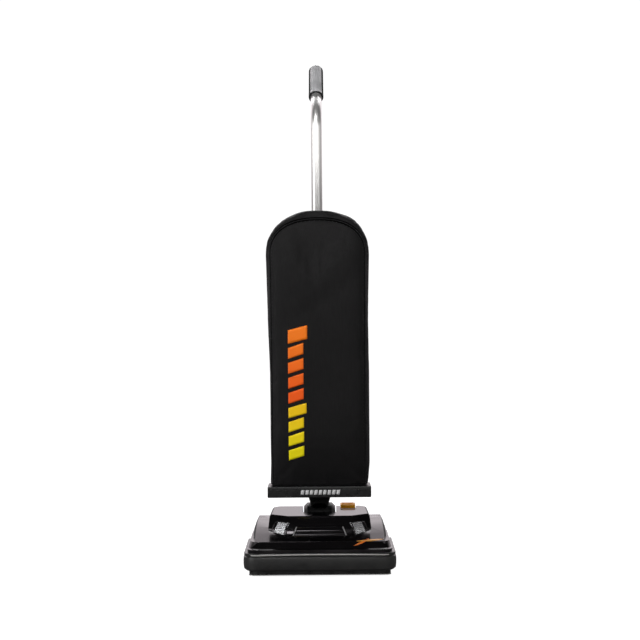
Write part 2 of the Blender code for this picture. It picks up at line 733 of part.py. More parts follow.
def build_wheels():
    """Rear wheels on one axle, and two small rollers behind the nozzle on their own pins."""
    bore = AXLE_RADIUS + GAP
    rear_half = REAR_WHEEL_WIDTH / 2
    tread = REAR_WHEEL_RADIUS
    rod_x("rear_axle", REAR_WHEEL_Y, REAR_WHEEL_RADIUS, AXLE_RADIUS, -0.1490, 0.1490,
          "bright_steel", count=16)
    for side, sign in sides():
        wheel = turned(
            f"rear_wheel_{side}", (sign * REAR_WHEEL_X, REAR_WHEEL_Y, REAR_WHEEL_RADIUS), AXIS_X,
            [(-rear_half, bore), (-rear_half, 0.0100), (-rear_half + 0.003, 0.0120),
             (-rear_half + 0.003, 0.0210), (-rear_half, 0.0230), (-rear_half, tread - 0.003),
             (-rear_half + 0.003, tread), (rear_half - 0.003, tread), (rear_half, tread - 0.003),
             (rear_half, 0.0230), (rear_half - 0.003, 0.0210), (rear_half - 0.003, 0.0120),
             (rear_half, 0.0100), (rear_half, bore)],
            "wheel_rubber", closed=True, count=32,
        )
        move_origin(wheel, (sign * REAR_WHEEL_X, REAR_WHEEL_Y, REAR_WHEEL_RADIUS))
        half = ROLLER_WIDTH / 2
        centre = (sign * ROLLER_X, ROLLER_Y, ROLLER_RADIUS)
        roller = turned(
            f"front_roller_{side}", centre, AXIS_X,
            [(-half, ROLLER_PIN_RADIUS + GAP), (-half, ROLLER_RADIUS - 0.0015),
             (-half + 0.0015, ROLLER_RADIUS), (half - 0.0015, ROLLER_RADIUS),
             (half, ROLLER_RADIUS - 0.0015), (half, ROLLER_PIN_RADIUS + GAP)],
            "wheel_rubber", closed=True, count=24,
        )
        move_origin(roller, centre)
        rod_x(f"roller_pin_{side}", ROLLER_Y, ROLLER_RADIUS, ROLLER_PIN_RADIUS,
              *span(sign, ROLLER_X - 0.0145, ROLLER_X + 0.0145), "bright_steel", count=12)


def build_pivot_brackets():
    """Two steel brackets on the chassis floor that carry the handle's trunnions."""
    outline = (
        (0.0500, FLOOR_TOP + GAP), (0.0860, FLOOR_TOP + GAP), (0.0860, 0.0130), (0.0720, 0.0200),
        (0.0600, 0.0700), (0.0340, 0.1080), (0.0280, 0.1155), (0.0120, 0.1155),
        (0.0060, 0.1080), (0.0060, 0.0950), (0.0480, 0.0690),
    )
    for side, sign in sides():
        x0, x1 = span(sign, SLOT_HALF + HOOD_SKIN + 0.0006, SLOT_HALF + HOOD_SKIN + 0.0036)
        bracket = plate_x(f"pivot_bracket_{side}", outline, x0, x1, "bright_steel")
        cut(bracket, rod_x(f"trunnion_hole_cutter_{side}", PIVOT_Y, PIVOT_Z,
                           TRUNNION_RADIUS + GAP, *span(sign, 0.038, 0.052), count=24))


def build_pedal():
    """The orange foot pedal that frees the handle, on its pin, with its return spring."""
    x0, x1 = PEDAL_X - PEDAL_HALF, PEDAL_X + PEDAL_HALF
    outline = (
        (0.0380, 0.1070), (0.0440, 0.1060), (0.0620, 0.1090), (0.0790, 0.1190),
        (0.0840, 0.1215), (0.0840, 0.1262), (0.0815, PEDAL_TOP), (0.0560, 0.1265),
        (0.0500, 0.1200), (0.0440, 0.1160), (0.0380, 0.1140),
    )
    pedal = plate_x("release_pedal", outline, x0, x1, "orange_plastic")
    cut(pedal, rod_x("pedal_bore_cutter", PEDAL_PIN_Y, PEDAL_PIN_Z, 0.0018, x0 - 0.01, x1 + 0.01,
                     count=12))
    rod_x("pedal_pin", PEDAL_PIN_Y, PEDAL_PIN_Z, 0.0015, 0.0464, 0.0883, "bright_steel", count=12)
    coil_radius, wire, coils = 0.0042, 0.0007, 4
    low, high = 0.0955, 0.1060
    block("spring_seat", (0.0482 + GAP, 0.0860 - GAP), (0.0520, 0.0820),
          (0.0925, low - GAP), "grey_plastic")
    rings = []
    steps = coils * 12
    for i in range(steps + 1):
        angle = 2 * math.pi * i / 12
        height = low + wire + (high - low - 2 * wire) * i / steps
        outward = Vector((math.cos(angle), math.sin(angle), 0))
        centre = Vector((PEDAL_X, 0.0640, height)) + coil_radius * outward
        rings.append(circle(centre, wire, outward, AXIS_Z, 6))
    skin("pedal_spring", rings, "bright_steel")
    move_origin(pedal, (PEDAL_X, PEDAL_PIN_Y, PEDAL_PIN_Z))


# ---------------------------------------------------------------- handle
def build_knuckle():
    """The hollow pivot barrel, the neck that carries dirt up, and the socket for the tube."""
    axis = (0, PIVOT_Y, PIVOT_Z)
    chamfer = 0.008
    knuckle = turned(
        "handle_knuckle", axis, AXIS_X,
        [(-TRUNNION_END, TRUNNION_RADIUS), (-BARREL_HALF, TRUNNION_RADIUS),
         (-BARREL_HALF, BARREL_RADIUS - chamfer), (-BARREL_HALF + chamfer, BARREL_RADIUS),
         (BARREL_HALF - chamfer, BARREL_RADIUS), (BARREL_HALF, BARREL_RADIUS - chamfer),
         (BARREL_HALF, TRUNNION_RADIUS), (TRUNNION_END, TRUNNION_RADIUS)],
        "satin_black", count=32,
    )
    neck = neck_loft("neck_outer", (0.0190, -0.0015, 0.0415, 0.1290),
                     (0.0255, -0.0460, 0.0380, BAR_LOW - GAP))
    socket = rod_z("socket_outer", 0, PIVOT_Y, SOCKET_RADIUS, 0.1500, SOCKET_TOP)
    join(knuckle, neck, socket)
    hollow = turned(
        "barrel_hollow_cutter", axis, AXIS_X,
        [(-BARREL_HALF + 0.003, 0.0215), (-BARREL_HALF + 0.0105, 0.0298),
         (BARREL_HALF - 0.0105, 0.0298), (BARREL_HALF - 0.003, 0.0215)],
        count=32,
    )
    throat = neck_loft("throat_cutter", (0.0155, 0.0030, 0.0330, 0.1200),
                       (0.0185, INLET_Y - 0.0165, INLET_Y + 0.0165, BAR_LOW + 0.0040))
    bore = rod_z("socket_bore_cutter", 0, PIVOT_Y, TUBE_RADIUS + GAP, TUBE_LOW - GAP,
                 SOCKET_TOP + 0.01)
    window = block("barrel_window_cutter", (-0.0240, 0.0240), (0.0060, 0.0340), (0.060, 0.0850))
    bolt_hole = rod_x("socket_bolt_cutter", PIVOT_Y, 0.2150, 0.0028, -0.03, 0.03, count=12)
    cut(knuckle, hollow, throat, bore, window, bolt_hole)
    return knuckle


def neck_loft(name, low, high):
    """A tapering four-sided duct between two (half width, front, rear, height) sections."""
    rings = []
    for half, front, rear, z in (low, high):
        rings.append(rounded_outline(half, front, rear, 0.007, z, steps=3))
    return skin(name, rings)


def handle_path():
    """Centre points and headings of the tube: straight up, bent back, then straight to the grip."""
    heading = Vector((0, math.sin(GRIP_TILT), math.cos(GRIP_TILT)))
    sine, cosine = math.sin(GRIP_TILT), math.cos(GRIP_TILT)
    end = Vector((0, REAR_Y - max(radius * cosine - back * sine for back, radius in GRIP_DOME),
                  TOP_Z - max(radius * sine - back * cosine for back, radius in GRIP_DOME)))
    grip_start = end - GRIP_LENGTH * heading
    run = (grip_start.y - PIVOT_Y - BEND_RADIUS * (1 - math.cos(GRIP_TILT)))
    bend_end = grip_start - (run / math.sin(GRIP_TILT)) * heading
    bend_low = bend_end.z - BEND_RADIUS * math.sin(GRIP_TILT)
    path = [(Vector((0, PIVOT_Y, TUBE_LOW)), AXIS_Z.copy())]
    steps = 8
    for i in range(steps + 1):
        angle = GRIP_TILT * i / steps
        centre = Vector((0, PIVOT_Y + BEND_RADIUS * (1 - math.cos(angle)),
                         bend_low + BEND_RADIUS * math.sin(angle)))
        path.append((centre, Vector((0, math.sin(angle), math.cos(angle)))))
    path.append((end - 0.020 * heading, heading))
    return path, grip_start, end, heading


def build_tube_and_grip():
    """The chromed handle tube and the moulded grip pushed over its end."""
    path, grip_start, end, heading = handle_path()

    def ring(centre, direction, radius, count):
        return circle(centre, radius, AXIS_X, AXIS_X.cross(direction), count)

    outer = [ring(centre, direction, TUBE_RADIUS, 24) for centre, direction in path]
    inner = [ring(centre, direction, TUBE_RADIUS - TUBE_WALL, 24) for centre, direction in path]
    tube = skin("handle_tube", outer + inner[::-1], "chrome_tube", closed=True)
    cut(tube, rod_x("tube_bolt_cutter", PIVOT_Y, 0.2150, 0.0028, -0.03, 0.03, count=12))
    bore = TUBE_RADIUS + GAP
    length = GRIP_LENGTH
    profile = (
        (length - 0.0170, bore), (0.0, bore), (0.0, GRIP_RADIUS - 0.0010),
        (0.0020, GRIP_RADIUS),
    )
    profile += tuple((length - back, radius) for back, radius in GRIP_DOME)
    rings = [ring(grip_start + along * heading, heading, radius, 24) for along, radius in profile]
    skin("handle_grip", rings, "grip_foam")
    turned(
        "handle_bolt", (0, PIVOT_Y, 0.2150), AXIS_X,
        [(-0.0215, 0.0025), (0.0168, 0.0025), (0.0168, 0.0048), (0.0195, 0.0040)],
        "bright_steel", count=12,
    )
    turned(
        "handle_nut", (0, PIVOT_Y, 0.2150), AXIS_X,
        [(-0.0205, 0.0031), (-0.0205, 0.0052), (-0.0168, 0.0052), (-0.0168, 0.0031)],
        "bright_steel", closed=True, count=6,
    )


def build_bag_bar():
    """The rigid bar under the bag, and the collar that leads dirt up into the paper bag."""
    bar = block("bag_bar", (-BAR_HALF, BAR_HALF), (BAR_FRONT, BAR_REAR), (BAR_LOW, BAR_TOP),
                "satin_black")
    bevel(bar, 0.002, 2)
    groove = block("bar_groove_cutter", (-BAR_HALF - 0.01, BAR_HALF + 0.01),
                   (BAR_FRONT - 0.005, BAR_FRONT + 0.0008), (0.1775, 0.1787))
    cut(bar, groove)
    cut(bar, rod_z("bar_bore_cutter", 0, INLET_Y, INLET_RADIUS, 0.150, 0.200))
    turned(
        "bag_collar", (0, INLET_Y, 0), AXIS_Z,
        [(BAR_LOW, 0.0160), (BAR_LOW, 0.0181), (0.2450, 0.0181), (0.2450, 0.0160)],
        "grey_plastic", closed=True,
    )


def bag_outline(half, front, back, z, count=28, power=4.0):
    """A pillow-shaped section of the bag: a rounded rectangle between flat and oval."""
    points = []
    middle = (front + back) / 2
    depth = (back - front) / 2
    for i in range(count):
        angle = 2 * math.pi * i / count
        c, s = math.cos(angle), math.sin(angle)
        x = half * math.copysign(abs(c) ** (2 / power), c)
        y = depth * math.copysign(abs(s) ** (2 / power), s)
        points.append(Vector((x, middle + y, z)))
    return points


def bag_sections(inset):
    """Half width, front, back and height of the bag from its foot to its arched top."""
    arch = 0.100
    power = 2.4
    shoulder = BAG_TOP - arch
    sections = [
        (0.1105, -0.066, -0.002, BAG_LOW),
        (0.1110, -0.080, BAG_BACK - 0.001, BAG_LOW + 0.045),
        (BAG_HALF_LOW, -0.090, BAG_BACK, 0.300),
        (BAG_HALF_LOW, BAG_FRONT, BAG_BACK, 0.440),
        (0.1145, BAG_FRONT, BAG_BACK, 0.600),
        (BAG_HALF_TOP, BAG_FRONT, BAG_BACK, shoulder),
    ]
    for t in (0.28, 0.50, 0.68, 0.82, 0.92, 0.98):
        width = (1 - t ** power) ** (1 / power)
        depth = 0.25 + 0.75 * (1 - t ** 3) ** 0.5
        middle = -0.044
        front = middle + (BAG_FRONT - middle) * depth
        back = middle + (BAG_BACK - middle) * depth
        sections.append((BAG_HALF_TOP * width, front, back, shoulder + arch * t))
    sections.append((0.020, -0.050, -0.036, BAG_TOP))
    rings = []
    for half, front, back, z in sections:
        low = z == BAG_LOW
        height = z if low else z - inset * (z - BAG_LOW) / (BAG_TOP - BAG_LOW)
        rings.append(bag_outline(half - inset, front + inset, back - inset, height))
    return rings


def build_bags():
    """The nylon outer bag, open at its foot, and the paper bag that it hides."""
    inner = bag_sections(BAG_CLOTH)
    outer = bag_sections(0.0)
    skin("outer_bag", inner[::-1] + outer, "bag_nylon")
    collar = 0.0181 + 3 * GAP
    sections = ((collar + 0.0008, 0.2250), (collar + 0.0008, 0.2440))
    mouth = [circle((0, INLET_Y, z), radius, AXIS_X, AXIS_Y, 28) for radius, z in sections]
    mouth_in = [circle((0, INLET_Y, z), collar, AXIS_X, AXIS_Y, 28) for _, z in sections]
    body = [bag_outline(half, front, back, z) for half, front, back, z in (
        (0.080, -0.070, -0.014, 0.262), (0.088, -0.078, -0.012, 0.320),
        (0.088, -0.078, -0.012, 0.640), (0.070, -0.060, -0.030, 0.690))]
    body_in = [bag_outline(half, front, back, z) for half, front, back, z in (
        (0.079, -0.069, -0.015, 0.2632), (0.087, -0.077, -0.013, 0.320),
        (0.087, -0.077, -0.013, 0.6395), (0.069, -0.059, -0.031, 0.6888))]
    rings = body_in[::-1] + mouth_in[::-1] + mouth + body
    skin("paper_bag", rings, "filter_paper")


def build_bag_hanger():
    """The clamp on the tube whose tongue holds the top of the bag."""
    clamp = turned(
        "bag_hanger", (0, PIVOT_Y, 0), AXIS_Z,
        [(0.7830, TUBE_RADIUS + GAP), (0.7830, 0.0158), (0.7960, 0.0158),
         (0.7960, TUBE_RADIUS + GAP)],
        "satin_black", closed=True,
    )
    tongue = block("hanger_tongue", (-0.0060, 0.0060), (-0.0030, 0.0060), (0.7860, 0.7930))
    join(clamp, tongue)


def hook_clamp(name, z):
    """A ring on the tube with a flat pad behind it, which carries a cord hook."""
    clamp = turned(
        name, (0, PIVOT_Y, z), AXIS_Z,
        [(-0.0130, TUBE_RADIUS + GAP), (-0.0130, 0.0160), (0.0130, 0.0160),
         (0.0130, TUBE_RADIUS + GAP)],
        "satin_black", closed=True,
    )
    pad = block(name + "_pad", (-0.0085, 0.0085), (PIVOT_Y + 0.0135, 0.0440),
                (z - 0.0105, z + 0.0105))
    join(clamp, pad)
    return clamp


def build_cord_hooks():
    """The fixed lower cord hook and the upper one, which turns to drop the cord."""
    lower = hook_clamp("cord_hook_lower", HOOK_LOW_Z)
    prong = plate_x(
        "lower_prong",
        ((0.0435, HOOK_LOW_Z - 0.0020), (0.0435, HOOK_LOW_Z + 0.0090),
         (0.0800, HOOK_LOW_Z + 0.0090), (0.0850, HOOK_LOW_Z + 0.0040),
         (0.0850, HOOK_LOW_Z - 0.0500), (0.0780, HOOK_LOW_Z - 0.0500),
         (0.0770, HOOK_LOW_Z - 0.0020)),
        -0.0070, 0.0070,
    )
    join(lower, prong)
    hook_clamp("hook_clamp_upper", HOOK_HIGH_Z)
    high = HOOK_HIGH_Z
    upper = plate_x(
        "cord_hook_upper",
        ((0.0443, high - 0.0070), (0.0443, high + 0.0070), (0.0760, high + 0.0070),
         (0.0770, high + 0.0500), (0.0850, high + 0.0500), (0.0850, high - 0.0020),
         (0.0800, high - 0.0070)),
        -0.0070, 0.0070, "satin_black",
    )
    move_origin(upper, (0, 0.0443, high))


def build_switch():
    """The slim switch case on the back of the tube, its rocker and the cord's inlet."""
    back = PIVOT_Y + TUBE_RADIUS
    case = block("switch_case", (-0.0115, 0.0115), (back + GAP, 0.0490),
                 (SWITCH_LOW, SWITCH_TOP), "satin_black")
    pocket = block("rocker_pocket_cutter", (-0.0075, 0.0075), (0.0385, 0.0600),
                   (ROCKER_Z - 0.0130, ROCKER_Z + 0.0130))
    inlet = rod_z("cord_inlet_cutter", 0, 0.0410, 0.0030, SWITCH_LOW - 0.01, SWITCH_LOW + 0.012,
                  count=16)
    cut(case, pocket, inlet)
    flat = ((-0.0045, -0.0105), (0.0030, -0.0105), (0.0018, 0.0), (0.0030, 0.0105),
            (-0.0045, 0.0105))
    outline = []
    for y, z in flat:
        outline.append((ROCKER_Y + y * math.cos(ROCKER_TILT) - z * math.sin(ROCKER_TILT),
                        ROCKER_Z + y * math.sin(ROCKER_TILT) + z * math.cos(ROCKER_TILT)))
    rocker = plate_x("power_rocker", outline, -0.0070, 0.0070, "orange_plastic")
    move_origin(rocker, (0, ROCKER_Y, ROCKER_Z))
    turned(
        "cord_gland", (0, 0.0410, 0), AXIS_Z,
        [(SWITCH_LOW - 0.0200, 0.0032), (SWITCH_LOW - 0.0200, 0.0045),
         (SWITCH_LOW - GAP, 0.0062), (SWITCH_LOW - GAP, 0.0032)],
        "satin_black", closed=True, count=16,
    )


def hang_on(pivot_name, point, names):
    """Parent parts to an empty at a joint's axis, and leave them where they are."""
    pivot = bpy.data.objects.new(pivot_name, None)
    bpy.context.scene.collection.objects.link(pivot)
    pivot.location = point
    bpy.context.view_layer.update()
    for name in names:
        part = bpy.data.objects[name]
        part.parent = pivot
        part.matrix_parent_inverse = pivot.matrix_world.inverted()


def main():
    """Build the whole machine."""
    clear_scene()
    build_chassis()
    build_sole_plate()
    build_bumper()
    build_hood()
    build_headlights()
    build_motor()
    build_ducts()
    build_brush()
    build_belt()
    build_wheels()
    build_pivot_brackets()
    build_pedal()
    build_knuckle()
    build_tube_and_grip()
    build_bag_bar()
    build_bags()
    build_bag_hanger()
    build_cord_hooks()
    build_switch()
    hang_on("recline_pivot", (0, PIVOT_Y, PIVOT_Z), (
        "handle_knuckle", "handle_tube", "handle_grip", "handle_bolt", "handle_nut", "bag_bar",
        "bag_collar", "outer_bag", "paper_bag", "bag_hanger", "cord_hook_lower",
        "cord_hook_upper", "hook_clamp_upper", "switch_case", "power_rocker", "cord_gland"))


main()
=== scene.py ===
"""Looks of the upright vacuum cleaner: finishes, cloth bag, trim, light and camera."""

import math
import random

import bmesh
import bpy
from mathutils import Matrix, Vector
from mathutils.bvhtree import BVHTree


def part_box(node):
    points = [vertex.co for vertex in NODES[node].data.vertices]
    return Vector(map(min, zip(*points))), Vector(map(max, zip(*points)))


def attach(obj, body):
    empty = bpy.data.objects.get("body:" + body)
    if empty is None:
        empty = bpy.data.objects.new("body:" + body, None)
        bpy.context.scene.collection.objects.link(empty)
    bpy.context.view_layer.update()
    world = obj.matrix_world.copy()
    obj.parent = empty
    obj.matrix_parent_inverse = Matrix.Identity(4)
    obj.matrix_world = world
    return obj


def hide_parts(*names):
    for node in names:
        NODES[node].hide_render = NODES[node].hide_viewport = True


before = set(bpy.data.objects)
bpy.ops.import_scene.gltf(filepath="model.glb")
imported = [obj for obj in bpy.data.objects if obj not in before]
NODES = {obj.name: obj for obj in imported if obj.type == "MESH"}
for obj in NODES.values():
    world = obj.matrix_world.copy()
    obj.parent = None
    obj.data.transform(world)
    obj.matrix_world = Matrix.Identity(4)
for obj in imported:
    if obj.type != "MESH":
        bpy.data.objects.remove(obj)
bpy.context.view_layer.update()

AXIS_X = Vector((1, 0, 0))
REARWARD = Vector((0, 1, 0))


# ---------------------------------------------------------------- finishes

def new_finish(name, colour, rough, metallic=0.0, **constants):
    """A principled material whose constant inputs sit on the shader itself."""
    material = bpy.data.materials.new(name)
    material.use_nodes = True
    tree = material.node_tree
    shader = tree.nodes["Principled BSDF"]
    shader.inputs["Base Color"].default_value = (*colour, 1)
    shader.inputs["Roughness"].default_value = rough
    shader.inputs["Metallic"].default_value = metallic
    for socket, value in constants.items():
        shader.inputs[socket.replace("_", " ")].default_value = value
    return material, tree, shader


def coordinates(tree, scale=(1, 1, 1)):
    """Object coordinates, which are metres in the shared frame, stretched by scale."""
    source = tree.nodes.new("ShaderNodeTexCoord")
    mapping = tree.nodes.new("ShaderNodeMapping")
    mapping.inputs["Scale"].default_value = scale
    tree.links.new(source.outputs["Object"], mapping.inputs["Vector"])
    return mapping.outputs["Vector"]


def noise(tree, vector, scale, detail=4.0, rough=0.55):
    node = tree.nodes.new("ShaderNodeTexNoise")
    node.inputs["Scale"].default_value = scale
    node.inputs["Detail"].default_value = detail
    node.inputs["Roughness"].default_value = rough
    tree.links.new(vector, node.inputs["Vector"])
    return node.outputs["Fac"]


def spread(tree, value, low, high, start=0.3, end=0.7):
    node = tree.nodes.new("ShaderNodeMapRange")
    node.interpolation_type = "SMOOTHSTEP"
    node.inputs["From Min"].default_value = start
    node.inputs["From Max"].default_value = end
    node.inputs["To Min"].default_value = low
    node.inputs["To Max"].default_value = high
    tree.links.new(value, node.inputs["Value"])
    return node.outputs["Result"]


def blend_colours(tree, factor, first, second):
    """Mixes two colours, each a tuple or a node's output."""
    node = tree.nodes.new("ShaderNodeMix")
    node.data_type = "RGBA"
    for index, colour in ((6, first), (7, second)):
        if isinstance(colour, tuple):
            node.inputs[index].default_value = (*colour, 1)
        else:
            tree.links.new(colour, node.inputs[index])
    tree.links.new(factor, node.inputs[0])
    return node.outputs[2]


def axes(tree, vector):
    """The X, Y and Z of a vector, by name."""
    node = tree.nodes.new("ShaderNodeSeparateXYZ")
    tree.links.new(vector, node.inputs["Vector"])
    return node.outputs


def math_node(tree, operation, first, second=None):
    node = tree.nodes.new("ShaderNodeMath")
    node.operation = operation
    for index, value in ((0, first), (1, second)):
        if value is None:
            continue
        if isinstance(value, (int, float)):
            node.inputs[index].default_value = value
        else:
            tree.links.new(value, node.inputs[index])
    return node.outputs[0]


def bump(tree, shader, height, strength, distance, before=None):
    node = tree.nodes.new("ShaderNodeBump")
    node.inputs["Strength"].default_value = strength
    node.inputs["Distance"].default_value = distance
    tree.links.new(height, node.inputs["Height"])
    if before is not None:
        tree.links.new(before, node.inputs["Normal"])
    tree.links.new(node.outputs["Normal"], shader.inputs["Normal"])
    return node.outputs["Normal"]


def moulded(name, dark, light, rough, grain=1400, depth=0.00008, strength=0.25,
            patch=22, wander=0.08, edge=None, stretch=(1, 1, 1), metallic=0.0, **constants):
    """Moulded or metal surface: patchy colour, uneven roughness, fine grain, worn edges."""
    material, tree, shader = new_finish(name, dark, rough, metallic, **constants)
    vector = coordinates(tree, stretch)
    blotch = noise(tree, vector, patch, 5)
    colour = blend_colours(tree, spread(tree, blotch, 0, 1), dark, light)
    if edge is not None:
        geometry = tree.nodes.new("ShaderNodeNewGeometry")
        rounded = tree.nodes.new("ShaderNodeBevel")
        rounded.samples = 4
        rounded.inputs["Radius"].default_value = 0.0012
        turn = tree.nodes.new("ShaderNodeVectorMath")
        turn.operation = "DOT_PRODUCT"
        tree.links.new(rounded.outputs["Normal"], turn.inputs[0])
        tree.links.new(geometry.outputs["Normal"], turn.inputs[1])
        worn = spread(tree, turn.outputs["Value"], 1.0, 0.0, 0.80, 0.995)
        scuffs = spread(tree, noise(tree, vector, 130, 6), 0.0, 1.0, 0.42, 0.62)
        mask = math_node(tree, "MULTIPLY", worn, scuffs)
        colour = blend_colours(tree, mask, colour, edge)
    tree.links.new(colour, shader.inputs["Base Color"])
    fine = noise(tree, vector, grain, 3, 0.6)
    smear = noise(tree, vector, patch * 4, 6, 0.6)
    tree.links.new(
        spread(tree, smear, max(0.02, rough - wander), min(1, rough + wander)),
        shader.inputs["Roughness"])
    bump(tree, shader, fine, strength, depth)
    return material


def gloss_housing():
    """Polished black plastic: faint haze, dust in the gloss, and slow moulding waves."""
    material, tree, shader = new_finish("gloss_housing", (0.0022, 0.0020, 0.0024), 0.10)
    shader.inputs["IOR"].default_value = 1.46
    shader.inputs["Specular Tint"].default_value = (1.0, 0.93, 0.98, 1)
    vector = coordinates(tree)
    haze = noise(tree, vector, 34, 6, 0.6)
    tree.links.new(spread(tree, haze, 0.07, 0.15), shader.inputs["Roughness"])
    specks = noise(tree, vector, 900, 2, 0.5)
    dust = spread(tree, specks, 0.0, 0.35, 0.68, 0.80)
    tree.links.new(
        blend_colours(tree, dust, (0.0022, 0.0020, 0.0024), (0.030, 0.029, 0.030)),
        shader.inputs["Base Color"])
    waves = noise(tree, vector, 45, 2, 0.4)
    first = bump(tree, shader, waves, 0.10, 0.0006)
    peel = noise(tree, vector, 700, 2, 0.5)
    bump(tree, shader, peel, 0.05, 0.00006, first)
    return material


def weave_height(tree, pitch):
    """A plain weave that needs no unwrapping: threads up, and threads round the piece."""
    vector = coordinates(tree)
    parts = axes(tree, vector)
    turns = math.pi / pitch
    round_it = math_node(tree, "ADD", parts["X"], parts["Y"])
    across = math_node(tree, "SINE", math_node(tree, "MULTIPLY", round_it, turns))
    up = math_node(tree, "SINE", math_node(tree, "MULTIPLY", parts["Z"], turns))
    checker = math_node(tree, "MULTIPLY", across, up)
    ribs = math_node(tree, "MULTIPLY", across, across)
    return math_node(tree, "ADD", checker, math_node(tree, "MULTIPLY", ribs, 0.5)), vector


def woven(name, dark, light, pitch=0.0011, rough=0.62, sheen=0.05, depth=0.00022):
    material, tree, shader = new_finish(name, dark, rough)
    shader.inputs["Sheen Weight"].default_value = sheen
    shader.inputs["Sheen Roughness"].default_value = 0.45
    shader.inputs["Sheen Tint"].default_value = (0.92, 0.92, 1.0, 1)
    shader.inputs["IOR"].default_value = 1.40
    shader.inputs["Specular IOR Level"].default_value = 0.28
    height, vector = weave_height(tree, pitch)
    blotch = noise(tree, vector, 9, 5, 0.6)
    slub = noise(tree, coordinates(tree, (1, 1, 0.04)), 800, 2)
    tone = math_node(tree, "ADD", math_node(tree, "MULTIPLY", blotch, 0.7),
                     math_node(tree, "MULTIPLY", slub, 0.3))
    base = blend_colours(tree, spread(tree, tone, 0, 1, 0.35, 0.65), dark, light)
    thread = spread(tree, height, 0.0, 0.28, -0.4, 1.2)
    lifted = tuple(min(1.0, value * 1.5 + 0.001) for value in light)
    tree.links.new(blend_colours(tree, thread, base, lifted), shader.inputs["Base Color"])
    tree.links.new(spread(tree, slub, rough - 0.08, rough + 0.10), shader.inputs["Roughness"])
    creases = noise(tree, coordinates(tree, (1, 1, 0.45)), 26, 3, 0.5)
    first = bump(tree, shader, creases, 0.16, 0.0030)
    bump(tree, shader, height, 0.35, depth, first)
    return material


def printed(name, top, bottom, z_top, z_bottom):
    """Screen print on the cloth: the weave shows through, and the colour runs down in a fade."""
    material, tree, shader = new_finish(name, top, 0.48)
    height, vector = weave_height(tree, 0.0011)
    parts = axes(tree, vector)
    run = spread(tree, parts["Z"], 0.0, 1.0, z_bottom, z_top)
    colour = blend_colours(tree, run, bottom, top)
    gaps = spread(tree, height, 0.30, 0.0, -1.0, -0.55)
    dull = tuple(value * 0.75 for value in bottom)
    tree.links.new(blend_colours(tree, gaps, colour, dull), shader.inputs["Base Color"])
    shader.inputs["Specular IOR Level"].default_value = 0.25
    bump(tree, shader, height, 0.3, 0.00018)
    return material


def lens_finish():
    """Prismatic clear plastic: a fine grid of small pillows over a silvered back."""
    material, tree, shader = new_finish("lens", (0.74, 0.76, 0.80), 0.22, 0.85)
    shader.inputs["Coat Weight"].default_value = 0.6
    shader.inputs["Coat Roughness"].default_value = 0.05
    vector = coordinates(tree)
    parts = axes(tree, vector)
    turns = math.pi / 0.0034
    along = math_node(tree, "SINE", math_node(tree, "MULTIPLY", parts["X"], turns * 1.2))
    up = math_node(tree, "SINE", math_node(tree, "MULTIPLY", parts["Z"], turns))
    height = math_node(tree, "MULTIPLY", math_node(tree, "ABSOLUTE", along),
                       math_node(tree, "ABSOLUTE", up))
    tone = spread(tree, height, 0.0, 1.0, 0.05, 0.45)
    tree.links.new(blend_colours(tree, tone, (0.34, 0.35, 0.37), (0.88, 0.89, 0.92)),
                   shader.inputs["Base Color"])
    bump(tree, shader, height, 0.5, 0.0012)
    return material


def chrome_finish():
    """Plated tube: bright, with drawn lines along it and a few dull finger marks."""
    material, tree, shader = new_finish("chrome_tube", (0.90, 0.89, 0.88), 0.34, 0.88)
    lines = noise(tree, coordinates(tree, (1, 1, 0.02)), 900, 3, 0.6)
    marks = noise(tree, coordinates(tree), 40, 5, 0.6)
    tone = math_node(tree, "ADD", math_node(tree, "MULTIPLY", lines, 0.5),
                     math_node(tree, "MULTIPLY", marks, 0.5))
    tree.links.new(spread(tree, tone, 0.33, 0.39, 0.35, 0.65), shader.inputs["Roughness"])
    tree.links.new(blend_colours(tree, marks, (0.88, 0.87, 0.86), (0.92, 0.91, 0.90)),
                   shader.inputs["Base Color"])
    bump(tree, shader, lines, 0.01, 0.00001)
    return material


